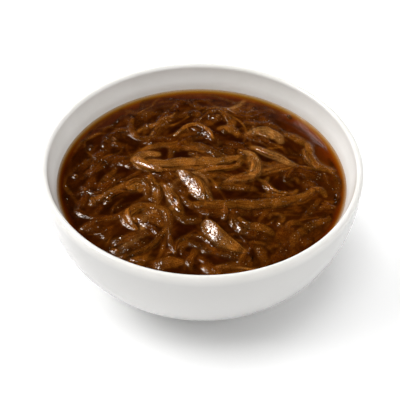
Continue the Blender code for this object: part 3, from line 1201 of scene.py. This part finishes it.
    def in_middle(self) -> list[Strand]:
        """Gives the strands in the middle."""
        return [
            Strand([(-25, 4), (-18, 2), (-13, -4), (-10, -11), (-8, -18)], SHEET, lift=0.0, tint=0.45),
            Strand([(-20, 5), (-12, 8), (-3, 9), (6, 8), (14, 8)], RIBBON, lift=0.3, tint=0.7),
            Strand([(-4, 4), (3, 6), (10, 7), (16, 9), (20, 13), (20, 18)], STRAND, lift=0.7, tint=0.7),
            Strand([(-34, 13), (-28, 11), (-16, 10.5), (-6, 12), (4, 12.5), (13, 14), (19, 17)],
                   LEAF, lift=0.9, tint=0.8),
            Strand([(-22, 18), (-29, 17), (-34, 13), (-31, 9), (-26, 7), (-20, 4)],
                   LEAF, lift=0.9, roll=14, twist=20, rough=0.4, tint=0.82),
            Strand([(20, 21), (25, 19), (28, 14), (28, 8), (26, 3), (21, 0), (15, -1), (11, -3)],
                   RIBBON, lift=0.6, roll=10, tint=0.85),
            Strand([(24, 17), (26, 11), (25, 5)], STRAND, lift=0.9, roll=12, tint=0.8),
            Strand([(-1, 1), (4, 2), (9, 3), (14, 1), (19, 2), (24, 5)], STRAND, lift=0.3, tint=0.6),
            Strand([(12, -6), (15, -2), (20, -0.5), (27, 1)], RIBBON, lift=0.3, roll=6, tint=0.6),
            Strand([(3, -4), (8, -4.5), (14, -6), (21, -6), (28, -8)], RIBBON, lift=0.4, tint=0.6),
            Strand([(26, 25), (31, 22), (38, 17.5), (44, 13), (50, 10)],
                   RIBBON, lift=0.6, roll=16, rough=0.6, tint=0.86),
            Strand([(29, 14), (35, 10), (42, 8), (48, 5)], THREAD, lift=0.1, tint=0.5),
        ]

    def at_right(self) -> list[Strand]:
        """Gives the strands at the right side."""
        return [
            Strand([(34, 4), (42, 5), (50, 6), (58, 4), (65, 2)], LEAF, lift=0.0, tint=0.4),
            Strand([(52, 23), (51, 16), (51, 9)], STRAND, lift=-0.1, tint=0.45),
            Strand([(45, 25), (47, 21), (50, 19)], THREAD, lift=0.1, tint=0.5),
            Strand([(55, 29), (56, 22), (56, 17), (58, 12), (63, 9), (68, 7)],
                   RIBBON, lift=0.4, roll=6, tint=0.74),
            Strand([(30, 3), (36, 5.5), (43, 7.5), (50, 9.5), (57, 8.5), (64, 8.5), (67, 5)],
                   THREAD, lift=0.5, tint=0.68),
            Strand([(47, 8), (44, 4), (43, -1), (46, -5)], STRAND, lift=0.1, tint=0.5),
            Strand([(45, 0), (48, 1), (49, -3)], THREAD, lift=0.4, tint=0.6),
            Strand([(34, 2), (32, -3), (34, -8), (39, -11.5), (45, -11), (48, -7)],
                   STRAND, lift=0.6, roll=14, tint=0.68),
            Strand([(54, -11), (56, -7), (60, -7), (62, -12)], STRAND, lift=0.1, tint=0.7),
            Strand([(50, 0), (55, -3), (57, -6)], RIBBON, lift=-0.3, tint=0.45),
            Strand([(48, -29), (53, -23), (56, -18), (59, -13)], STRAND, lift=0.2, tint=0.5),
            Strand([(58, -21), (62, -19), (66, -19)], STRAND, lift=0.0, tint=0.55),
            Strand([(24, -13), (32, -12), (40, -13), (47, -13)], STRAND, lift=-0.2, tint=0.4),
            Strand([(-7, -19), (2, -19), (14, -19), (27, -18.5), (39, -16.5), (49, -13), (56, -8)],
                   LEAF, lift=0.75, rough=0.6, tint=0.67),
            Strand([(8, -22), (18, -23), (30, -24), (42, -23)], RIBBON, lift=-0.3, tint=0.4),
            Strand([(33, -28), (34, -25), (38, -25), (40, -28), (38, -32)], THREAD, lift=0.3, tint=0.6),
            Strand([(41, -35), (43, -31), (46, -30), (50, -32)], STRAND, lift=0.1, tint=0.6),
            Strand([(43, -46), (46, -39), (51, -34), (57, -30), (63, -27)], RIBBON, lift=0.3, tint=0.6),
        ]

    def at_front(self) -> list[Strand]:
        """Gives the strands at the front."""
        return [
            Strand([(-27, 1), (-24, -6), (-22, -13), (-22, -20)], RIBBON, lift=0.6, roll=10, tint=0.68),
            Strand([(-21, -4), (-17, -9), (-14, -14), (-12, -20), (-9, -26)],
                   RIBBON, lift=0.7, roll=12, tint=0.68),
            Strand([(-10, -13), (-7, -18), (-4, -22)], STRAND, lift=0.4, roll=12, tint=0.55),
            Strand([(-4, -23), (6, -24), (15, -26), (20, -30)], RIBBON, lift=0.3, tint=0.5),
            Strand([(-14, -24), (-11, -28), (-6, -30), (0, -30)], RIBBON, lift=0.3, tint=0.6),
            Strand([(-18, -20), (-16, -25), (-14, -32)], STRAND, lift=0.3, roll=8, tint=0.5),
            Strand([(-58, -38), (-52, -32.5), (-45, -30), (-39, -27), (-34, -22)],
                   STRAND, lift=-0.1, tint=0.5),
            Strand([(-29, -31), (-27, -34), (-23, -37), (-22, -42)], RIBBON, lift=0.3, roll=16, tint=0.4),
            Strand([(-34, -31), (-29, -29), (-23, -30), (-18, -34)], LEAF, lift=-0.1, tint=0.6),
            Strand([(-29, -25), (-23, -26), (-18, -28)], RIBBON, lift=0.2, tint=0.6),
            Strand([(-30, -38), (-35, -33), (-36, -27), (-31, -22), (-24, -21), (-18, -24), (-16, -29)],
                   RIBBON, lift=0.4, roll=-4, tint=0.68),
            Strand([(-37, -41), (-31, -40), (-26, -39)], RIBBON, lift=0.1, tint=0.4),
            Strand([(-42, -47), (-37, -44), (-31, -41), (-25, -39)],
                   RIBBON, lift=0.6, roll=6, tip=0.85, tint=0.5),
            Strand([(-42, -52), (-36, -50), (-30, -47), (-25, -43)],
                   RIBBON, lift=0.5, roll=6, tip=0.85, tint=0.45),
            Strand([(-41, -56), (-34, -54), (-28, -51), (-23, -47), (-19, -41), (-16, -34), (-17, -27)],
                   STRAND, lift=0.6, tint=0.6),
            Strand([(-16, -33), (-15, -40), (-14, -46), (-12, -52)], THREAD, lift=0.4, tint=0.55),
            Strand([(-12, -52), (-11, -45), (-8, -42), (-3, -40), (3, -43)], THREAD, lift=0.3, tint=0.55),
            Strand([(-9, -52), (-8, -47), (-5, -45), (0, -47), (6, -49)], STRAND, lift=0.2, tint=0.5),
            Strand([(-3, -49), (5, -50), (12, -51), (19, -54), (26, -55)], RIBBON, lift=0.2, tint=0.5),
            Strand([(11, -20), (12, -25), (11, -29)], STRAND, lift=0.7, roll=10, tint=0.55),
            Strand([(15, -28), (17, -33), (20, -37), (26, -39)],
                   RIBBON, lift=0.7, roll=17, rough=0.6, tint=0.6),
            Strand([(18, -28), (22, -33), (27, -34), (31, -35), (35, -39)],
                   RIBBON, lift=0.5, roll=12, tint=0.66),
            Strand([(22, -38), (28, -39), (34, -42)], RIBBON, lift=0.0, tint=0.45),
            Strand([(23, -44), (27, -48), (29, -53), (32, -57)], RIBBON, lift=0.1, tint=0.5),
            Strand([(24, -44), (29, -44.5), (32, -46.5), (34, -50)], THREAD, lift=0.3, tint=0.55),
            Strand([(-34, -58), (-28, -56), (-21, -55)], STRAND, lift=0.2, tint=0.6),
            Strand([(-22, -61), (-15, -58.5), (-8, -57)], LEAF, lift=0.4, roll=8, tint=0.6),
            Strand([(-2, -50), (-4, -54), (-5, -58), (-4, -63)], STRAND, lift=0.0, roll=8, tint=0.55),
            Strand([(2, -59), (4, -62), (9, -64)], RIBBON, lift=-0.4, tint=0.55),
            Strand([(5, -62), (12, -60), (19, -58), (27, -56)], RIBBON, lift=-0.3, tint=0.5),
            Strand([(18, -57), (20, -52), (23, -48)], THREAD, lift=0.3, tint=0.6),
        ]

    def bright_edges(self) -> list[Strand]:
        """Gives thin edges that lie turned to the window."""
        return [
            self.turned([(-35.5, 11.5), (-30.5, 8), (-26, 5.2), (-21.5, 2.8)], STRAND, 1.8, 0.8),
            self.turned([(-36, -24), (-36, -28), (-34, -33), (-31, -37)], STRAND, 1.0, 0.7),
            self.turned([(-16, -10), (-15, -14), (-14, -18)], THREAD, 1.0, 0.65),
            self.turned([(27.5, 37), (31, 35), (35, 31.5)], THREAD, 0.7, 0.8),
            self.turned([(53, 23), (53.5, 17.5), (55.5, 12), (60, 8.5)], THREAD, 1.0, 0.7),
            self.turned([(25, 16), (26, 11), (25.5, 5)], THREAD, 1.3, 0.8),
            self.turned([(27.5, 23.5), (32, 20), (37, 16.5)], THREAD, 1.1, 0.8),
            self.turned([(32, -2), (34, -6.5), (38, -10), (43, -10.5)], THREAD, 1.1, 0.65),
        ]

    def proud_leaves(self) -> list[Strand]:
        """Gives the two leaves that stand proudest, and the strand beside the first."""
        return [
            Strand([(-3.5, 2), (-0.5, -4), (2.5, -10), (5, -17)],
                   STRAND, lift=0.7, roll=-4, tip=0.2, rough=0.4, tint=0.8),
            Strand([(-12.5, 5), (-7.2, -1.5), (-4.2, -6), (-1.2, -11.5), (1.5, -16)],
                   SHEET, lift=1.2, roll=15.5,
                   tip=0.1, arch=0.0, peak=0.5, droop=0.3, fall=1.2, rough=0.12, tint=0.75),
            Strand([(1.5, -31), (5, -37), (9.5, -43), (15, -47), (21.5, -51)],
                   SHEET, lift=1.2, roll=12, twist=-24,
                   arch=0.0, tip=0.1, peak=0.4, droop=0.3, fall=1.0, rough=0.12, tint=0.8),
        ]

    def ends(self) -> list[Strand]:
        """Gives the short ends that stick up, each turned to the window.

        Each place is x, y and the end's length. Their headings swing about the one that mirrors best.
        """
        places = [
            (-46.5, 29, 3.5), (-46, 25.5, 2.5), (-58, 22, 2.5), (-64, 0, 2.5), (-53, -18, 5), (-58, -10, 3),
            (-46, -17, 3), (-44, -3, 3.5), (-37, -9, 4.5), (-30, -6.5, 3), (-25.5, -4, 4), (-24, -16, 3.5),
            (-11, -22, 3.5), (-5.5, -19, 4), (-40, -51, 4), (15, -32, 4), (21, -32, 4), (11, -25, 4),
            (-19, 43, 3), (6.5, 47, 4), (11.5, 37, 3.5), (42, -11, 3), (20, 21, 3), (6, 17, 3), (-5, 18, 4),
            (-2.5, 14.5, 3), (47, 50, 3), (30, -20, 3), (-30, 40, 3), (56, -8, 3), (38, -32, 3), (-8, 38, 3),
            (16, -47, 3),
        ]
        found = []
        for i, (x, y, length) in enumerate(places):
            turn = math.radians(self.end_heading + self.end_swing * math.sin(2.4 * i))
            dx, dy = 0.5 * length * math.cos(turn), 0.5 * length * math.sin(turn)
            route = [(x - dx, y - dy), (x, y), (x + dx, y + dy)]
            found.append(self.turned(route, THREAD, 0.8, 0.62, i))
        return found

    def turned(self, route: Route, cut: Cut, lift: float, tint: float, phase: float = 0.0) -> Strand:
        """Gives a flat strand that lies square to the window, so that it shines for its whole length.

        Args:
            route: its route in plan, in millimetres.
            cut: its width and thickness.
            lift: height over the broth, in millimetres.
            tint: how pale it is.
            phase: sets its waves apart from the other strands'.

        Returns:
            The strand.
        """
        (x0, y0), (x1, y1) = route[0], route[-1]
        off = self.window_side - math.atan2(y1 - y0, x1 - x0) + math.pi / 2
        roll = math.degrees(self.window_tilt) * math.cos(off)
        fall = math.hypot(x1 - x0, y1 - y0) * math.tan(self.window_tilt * math.sin(off))
        return Strand(route, cut, lift=lift, roll=roll, fall=fall, tint=tint, phase=phase,
                      arch=0.0, tip=0.5, droop=0.2, rough=0.12)

    def flow(self, x: float, y: float) -> float:
        """Gives the heading that strands near a place share, from the nearest strand of the face."""
        best, found = math.inf, 0.0
        for strand in self.strands:
            away = np.hypot(strand.centre[:, 0] - x, strand.centre[:, 1] - y)
            i = int(away.argmin())
            if away[i] < best:
                best, found = float(away[i]), math.atan2(strand.heading[i, 1], strand.heading[i, 0])
        return found

    def under(self, layer: Layer, salt: int) -> Iterator[Strand]:
        """Gives seeded strands, spread evenly over the bowl.

        Args:
            layer: how many there are, and how they vary.
            salt: what tells this layer's chances from another's.

        Yields:
            Each strand.
        """
        rng = np.random.default_rng(self.seed + salt)
        for i in range(layer.count):
            reach = self.radius * math.sqrt((i + 0.5) / layer.count)
            turn = i * math.pi * (3 - math.sqrt(5)) + salt
            x, y = reach * math.cos(turn), reach * math.sin(turn)
            heading = self.flow(x, y) + rng.normal(0, layer.swing)
            length, bend = rng.uniform(*layer.lengths), rng.normal(0, layer.bend)
            step = length / layer.stretches
            route = [(x - 0.5 * length * math.cos(heading), y - 0.5 * length * math.sin(heading))]
            for k in range(layer.stretches):
                aim = heading + bend * (k / (layer.stretches - 1) - 0.5) + rng.normal(0, layer.wander)
                route.append((route[-1][0] + step * math.cos(aim), route[-1][1] + step * math.sin(aim)))
            inside = np.array(route)
            far = np.hypot(inside[:, 0], inside[:, 1])
            inside *= np.minimum(1, (self.radius + 1) / far)[:, None]
            cut = layer.cuts[int(rng.integers(len(layer.cuts)))]
            yield Strand(
                [tuple(p) for p in inside],
                cut,
                lift=rng.uniform(*layer.lifts),
                roll=rng.normal(0, layer.roll),
                twist=rng.normal(0, layer.twist),
                arch=rng.uniform(*layer.arches),
                tint=float(np.clip(rng.normal(*layer.tint), 0, 1)),
                phase=rng.uniform(0, 6),
                loose=True,
            )

    def lay(self, relief: Relief) -> None:
        """Lays every strand, deepest first."""
        low, proud = self.face(), self.proud_leaves()
        face = low + proud
        for i, strand in enumerate(face):
            strand.phase = self.phase_step * i
        # The seeded strands take their headings from the face, so it stands in for all of them at first.
        self.strands = face
        layers = (self.deep, self.middle, self.high, self.hairs)
        deep, middle, high, hairs = (list(self.under(layer, i)) for i, layer in enumerate(layers, 1))
        ends = self.ends()
        self.strands = deep + middle + high + hairs[::2] + low + ends + proud + hairs[1::2]
        for strand in self.strands:
            relief.lay(strand, self.flesh(strand.tint))
        seen = [s for s in deep + middle if s.height.max() > self.least_seen]
        self.groups = [
            (seen, self.coarse),
            (high + ends, self.plain),
            (hairs, self.slight),
            (face, self.fine),
        ]

    def blank(self, rings: int, sides: int) -> tuple[np.ndarray, list[tuple[int, ...]]]:
        """Models a strand that others are cut from: a tube of even rings, closed at its ends.

        Args:
            rings: rings along it.
            sides: sides round it.

        Returns:
            (share, angle) of each vertex, and the faces.
        """
        start_clean()
        bpy.ops.mesh.primitive_circle_add(
            vertices=sides, radius=1 * MM, fill_type="NGON", rotation=(0, math.pi / 2, 0)
        )
        piece = bpy.context.object
        bpy.ops.object.transform_apply(location=True, rotation=True, scale=True)
        bpy.ops.object.mode_set(mode="EDIT")
        bpy.ops.mesh.select_all(action="SELECT")
        for _ in range(rings - 1):
            bpy.ops.mesh.extrude_region_move(TRANSFORM_OT_translate={"value": (1 * MM, 0.0, 0.0)})
        face_outwards()
        place = np.array([v.co for v in piece.data.vertices])
        # Rings crowd towards the tips, so that these are round.
        even = np.clip(place[:, 0] / ((rings - 1) * MM), 0, 1)
        share = 0.35 * (0.5 - 0.5 * np.cos(np.pi * even)) + 0.65 * even
        angle = np.arctan2(place[:, 2], place[:, 1])
        faces = [tuple(p.vertices) for p in piece.data.polygons]
        bpy.data.objects.remove(piece)
        return np.stack([share, angle], axis=1), faces

    def build(self, level: float) -> bpy.types.Object:
        """Cuts and bends all the laid strands into one piece.

        Args:
            level: height of the broth, in metres.

        Returns:
            The piece.
        """
        points, corners, colours, along = [], [], [], []
        base = 0
        for chosen, fineness in self.groups:
            blank, faces = self.blank(*fineness)
            share, angle = blank[:, 0], blank[:, 1]
            for strand in chosen:
                points.append(strand.surface(share, angle))
                corners += [tuple(base + v for v in face) for face in faces]
                base += len(blank)
                colours.append(strand.tone(share, angle, self.flesh(strand.tint)))
                along.append(strand.run(share, angle))
        mesh = bpy.data.meshes.new("onion_strands")
        place = np.vstack(points) * MM + np.array([0, 0, level])
        mesh.from_pydata(place.tolist(), [], corners)
        mark_points(mesh, "flesh", np.c_[np.vstack(colours), np.ones(base)], np.vstack(along) * MM)
        piece = bpy.data.objects.new("onion_strands", mesh)
        bpy.context.scene.collection.objects.link(piece)
        start_clean()
        piece.select_set(True)
        bpy.context.view_layer.objects.active = piece
        face_outwards()
        settle(piece, "onion_strands", self.finish.material())
        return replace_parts(piece, "onions")


# --------------------------------------------------------------------------------------------- broth


@dataclass
class Broth:
    """The liquid: a skin settled over the strands, and the body under it, just into the bowl's wall.

    Lengths without MM are in millimetres.

    Attributes:
        bowl: the bowl that holds it.
        level: its height where nothing lifts it, in metres.
        grid: cells along each side of the skin.
        into_wall: how far it reaches into the wall, so that no gap shows.
        skirt_rings: rings from the skin's edge down to the floor.
        skirt_top: how far below the skin the first of them lies.
        climb: how high it climbs on a strand.
        wall_climb: how high it climbs on the wall.
        wall_hold: how near the wall it holds on to it.
        rounds: how many times the skin is smoothed before it counts as settled.
        capillary: over what length it levels out.
        film: how thick it is over a wet strand.
        clear_depth: how deep green light reaches.
        dying: how deep red, green and blue light reach, against that.
        blur_depth: how deep it blurs what lies in it.
        rib_depth: how deep ribs still show.
        margin_width: how far from the wall the thin broth shines.
        lit_side: the side where light falls on the wall, and where the broth is painted to shine most, in
            radians from the right.
        wall_white: how much of the white wall shines through.
        wall_reach: how far that reaches: all round, more at the lit side as painted light, and more at the
            back.
        wall_dying: how far its red, green and blue reach, against that.
        rib_share: what ribs would leave of the light from strands too deep to show any.
    """

    bowl: Bowl
    level: float = 46.0 * MM
    grid: int = 300
    into_wall: float = 0.3 * MM
    skirt_rings: int = 6
    skirt_top: float = 3 * MM
    climb: float = 0.5
    wall_climb: float = 0.7
    wall_hold: float = 0.4
    rounds: int = 420
    capillary: float = 1.0
    film: float = 0.05
    clear_depth: float = 0.95
    dying: tuple[float, float, float] = (1.35, 1.0, 0.7)
    blur_depth: float = 1.4
    rib_depth: float = 0.25
    margin_width: float = 14.0
    lit_side: float = 0.35
    wall_white: float = 0.37
    wall_reach: tuple[float, float, float] = (0.31, 0.12, 0.56)
    wall_dying: tuple[float, float, float] = (3.1, 1.45, 0.45)
    rib_share: tuple[float, float, float] = (0.6, 0.54, 0.5)
    finish: BrownBroth = field(default_factory=BrownBroth)

    def settle_skin(self, relief: Relief) -> np.ndarray:
        """Finds the liquid's resting height over the level, cell by cell.

        The skin is as low as it can be while it covers every strand up to the height that it climbs.

        Args:
            relief: the laid strands.

        Returns:
            The skin's height in millimetres for each cell.
        """
        soft = relief.top
        for _ in range(2):
            soft = 0.5 * soft + 0.125 * relief.around(soft)
        wet = np.minimum(soft, self.climb) + self.film
        x, y = relief.places()
        rim = self.bowl.inner_radius(self.level) / MM
        gap = rim - np.hypot(x, y)
        wall = np.where(gap < self.wall_hold, self.wall_climb, relief.floor)
        holds = np.maximum(wet, wall)
        skin = np.maximum(holds, 0.0)
        pull = 4 * (self.capillary / relief.cell) ** 2
        for _ in range(self.rounds):
            mean = relief.around(skin) / 4
            skin = np.maximum(mean * pull / (pull + 1), holds)
        return skin

    def colours(self, relief: Relief, skin: np.ndarray) -> np.ndarray:
        """Works out what the eye sees through the skin in each cell.

        Args:
            relief: the laid strands.
            skin: the skin's height.

        Returns:
            A linear colour for each cell, and how near the onion is to the skin there.
        """
        depth = np.clip(skin - relief.top - self.film, 0, None)
        x, y = relief.places()
        gap = np.clip(self.bowl.inner_radius(self.level) / MM - np.hypot(x, y), 0, None)
        azimuth = np.arctan2(y, x)
        right = np.clip(np.cos(azimuth - self.lit_side), 0, 1) ** 3
        back = np.clip(np.sin(azimuth), 0, 1)
        finish = self.finish
        deep, margin, glow = (np.array(linear(c)[:3]) for c in (finish.deep, finish.margin, finish.glow))
        near = np.exp(-((gap / self.margin_width) ** 2))[..., None]
        broth = deep + (margin - deep) * near
        # Painted light: the broth by the wall is painted lighter at the lit side, where light falls on the
        # wall, and half as much at the back.
        broth = broth + (glow - margin) * (np.maximum(right, 0.5 * back)[..., None] * near)
        # Over the bowl's white wall the broth is thin enough to shine amber. The amber is painted to reach
        # further at the lit side, as painted light, and at the back.
        base, more_right, more_back = self.wall_reach
        reach = base + more_right * right + more_back * back**1.1
        reach = reach[..., None] * np.array(self.wall_dying)
        broth = broth + self.wall_white * np.exp(-gap[..., None] / reach)
        # Blue and green die out in the broth before red does.
        clear = np.exp(-depth[..., None] / (self.clear_depth * np.array(self.dying)))
        # Deeper strands show no ribs, so they lose the light that these would have taken.
        ribbed = np.exp(-depth / self.rib_depth)[..., None]
        strands = relief.colour * (ribbed + (1 - ribbed) * np.array(self.rib_share))
        colour = strands * clear + broth * (1 - clear)
        # The broth blurs what lies deeper in it.
        soft = colour
        for step in (1, 2):
            for axis in (0, 1):
                soft = 0.5 * soft + 0.25 * (np.roll(soft, step, axis) + np.roll(soft, -step, axis))
        murk = (1 - np.exp(-depth / self.blur_depth))[..., None]
        return np.dstack([colour + (soft - colour) * murk, ribbed])

    def build(self, relief: Relief) -> bpy.types.Object:
        """Makes the skin from a grid drawn into a disc, then draws its edge down inside the wall."""
        skin = self.settle_skin(relief)
        seen = self.colours(relief, skin)
        start_clean()
        radius = self.bowl.inner_radius(self.level) + self.into_wall
        bpy.ops.mesh.primitive_grid_add(
            x_subdivisions=self.grid, y_subdivisions=self.grid, size=2 * radius, location=(0, 0, self.level)
        )
        piece = bpy.context.object
        bpy.ops.object.transform_apply(location=True, rotation=True, scale=True)
        place = np.array([v.co for v in piece.data.vertices])
        u, v = place[:, 0] / radius, place[:, 1] / radius
        wide = np.abs(u) > np.abs(v)
        major, minor = np.where(wide, u, v), np.where(wide, v, u)
        swing = np.pi / 4 * minor / np.where(major == 0, 1, major)
        a, b = major * np.cos(swing), major * np.sin(swing)
        place[:, 0], place[:, 1] = radius * np.where(wide, a, b), radius * np.where(wide, b, a)
        plan = place[:, :2] / MM
        place[:, 2] = self.level + relief.sample(skin, plan) * MM
        piece.data.vertices.foreach_set("co", place.astype(np.float32).ravel())
        colour = relief.sample(seen, plan)
        bpy.ops.object.mode_set(mode="EDIT")
        bpy.ops.mesh.select_all(action="SELECT")
        bpy.ops.mesh.region_to_loop()
        was = radius
        top = self.level - self.skirt_top
        first = next(i / 100 for i in range(100) if self.bowl.inside(i / 100)[1] < top)
        shares = [first + (1 - first) * i / (self.skirt_rings - 1) for i in range(self.skirt_rings)]
        for r, z in (self.bowl.inside(s) for s in shares):
            if r > 0:
                now = r + self.into_wall
                bpy.ops.mesh.extrude_region_move(TRANSFORM_OT_translate={"value": (0.0, 0.0, 0.0)})
                scale = now / was
                bpy.ops.transform.resize(value=(scale, scale, 1.0), center_override=(0, 0, 0))
                bpy.ops.object.mode_set(mode="OBJECT")
                for vert in piece.data.vertices:
                    if vert.select:
                        vert.co.z = z - self.into_wall
                bpy.ops.object.mode_set(mode="EDIT")
                was = now
        bpy.ops.mesh.edge_face_add()
        face_outwards()
        mesh = piece.data
        r, c = relief.cells(plan)
        run = np.zeros((len(mesh.vertices), 2))
        run[: len(plan)] = relief.run[r, c] * MM
        full = np.tile(np.array(linear(self.finish.deep)), (len(mesh.vertices), 1))
        full[: len(colour)] = colour
        mark_points(mesh, "seen_through", full, run)
        settle(piece, "broth_and_skin", self.finish.material())
        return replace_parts(piece, "broth")


# -------------------------------------------------------------------------------------------- studio


@dataclass
class Studio:
    """The pale table, the soft lights and the camera."""

    elevation: float = 44.12
    roll: float = 1.014
    distance: float = 480.0 * MM
    aim_height: float = 58.25 * MM
    aside: tuple[float, float] = (-1.04 * MM, -19.68 * MM)
    lens: float = 86.75
    sensor: float = 36.0
    clip: tuple[float, float] = (0.01, 20.0)
    table_side: float = 6.0
    lit_height: float = 30.0 * MM
    finish: PaleTable = field(default_factory=PaleTable)

    def table(self) -> bpy.types.Object:
        """Makes the table top."""
        start_clean()
        bpy.ops.mesh.primitive_plane_add(size=self.table_side, location=(0, 0, 0))
        top = bpy.context.object
        top.name = "table_top"
        top.data.materials.append(self.finish.material())
        return top

    def light(
        self,
        name: str,
        place: Sequence[float],
        size: tuple[float, float],
        radiance: float,
        mirrored: bool,
        lights_up: bool = True,
        colour: str = "#FFFFFF",
    ) -> None:
        """Hangs a soft light that points at the bowl.

        Args:
            name: the light's name.
            place: where it hangs, in metres.
            size: its two sides, in metres.
            radiance: how bright its face is, with the table as 1.
            mirrored: whether wet and glazed surfaces mirror it.
            lights_up: whether it lights matt surfaces.
            colour: its colour.
        """
        data = bpy.data.lights.new(name, "AREA")
        data.shape = "RECTANGLE"
        data.size, data.size_y = size
        data.color = linear(colour)[:3]
        data.energy = radiance * math.pi * size[0] * size[1]
        lamp = bpy.data.objects.new(name, data)
        lamp.visible_glossy, lamp.visible_diffuse = mirrored, lights_up
        lamp.location = place
        aim = Vector((0, 0, self.lit_height)) - Vector(place)
        lamp.rotation_euler = aim.to_track_quat("-Z", "Y").to_euler()
        bpy.context.scene.collection.objects.link(lamp)

    def lights(self) -> None:
        """Hangs the lights; the room beyond them is only seen, and lights nothing."""
        self.light("window_back_left", (-0.49, 0.43, 1.0), (0.32, 0.32), 84.0, True, False, "#FFF8F2")
        self.light("curtain_back_left", (-0.53, 0.46, 1.08), (0.8, 0.8), 2.4, True, False, "#FFDCA8")
        wide = (1.3, 1.3)
        self.light("sky_back_left", (-1.462, 1.462, 0.752), wide, 7.1, False)
        self.light("sky_left", (-1.556, 0.0, 1.556), wide, 4.65, False)
        self.light("ceiling", (0.0, 0.0, 2.2), wide, 4.65, False)
        self.light("wall_right", (2.067, 0.0, 0.752), wide, 2.8, False)
        self.light("wall_back_right", (1.462, 1.462, 0.752), wide, 1.85, False)
        self.light("wall_front", (0.0, -2.067, 0.752), wide, 2.5, False)
        world = bpy.data.worlds.new("pale_room")
        bpy.context.scene.world = world
        world.use_nodes = True
        back = world.node_tree.nodes["Background"]
        back.inputs["Color"].default_value = (1.0, 1.0, 1.0, 1.0)
        back.inputs["Strength"].default_value = 1.0
        world.cycles_visibility.diffuse = False
        world.cycles_visibility.glossy = False
        world.cycles_visibility.transmission = False
        bpy.context.scene.view_settings.view_transform = "Standard"

    def camera(self) -> None:
        """Sets up the camera, above the front of the bowl."""
        lean, roll = math.radians(self.elevation), math.radians(self.roll)
        ahead = Vector((0, math.cos(lean), -math.sin(lean)))
        level_up = Vector((0, math.sin(lean), math.cos(lean)))
        right = math.cos(roll) * Vector((1, 0, 0)) + math.sin(roll) * level_up
        up = -math.sin(roll) * Vector((1, 0, 0)) + math.cos(roll) * level_up
        data = bpy.data.cameras.new("camera")
        data.lens, data.sensor_width = self.lens, self.sensor
        data.clip_start, data.clip_end = self.clip
        body = bpy.data.objects.new("camera", data)
        place = Vector((0, 0, self.aim_height)) - ahead * self.distance
        place += right * self.aside[0] + up * self.aside[1]
        turn = Matrix((right, up, -ahead)).transposed().to_4x4()
        body.matrix_world = Matrix.Translation(place) @ turn
        bpy.context.scene.collection.objects.link(body)
        bpy.context.scene.camera = body


def main() -> None:
    """Builds the bowl, the onions, the broth and the studio, in that order."""
    logging.basicConfig(level=logging.INFO, format="%(name)s: %(message)s")
    bowl = Bowl()
    bowl.build()
    relief = Relief()
    onions = Onions()
    onions.lay(relief)
    broth = Broth(bowl)
    broth.build(relief)
    onions.build(broth.level)
    studio = Studio()
    studio.table()
    studio.lights()
    studio.camera()


if __name__ == "__main__":
    main()
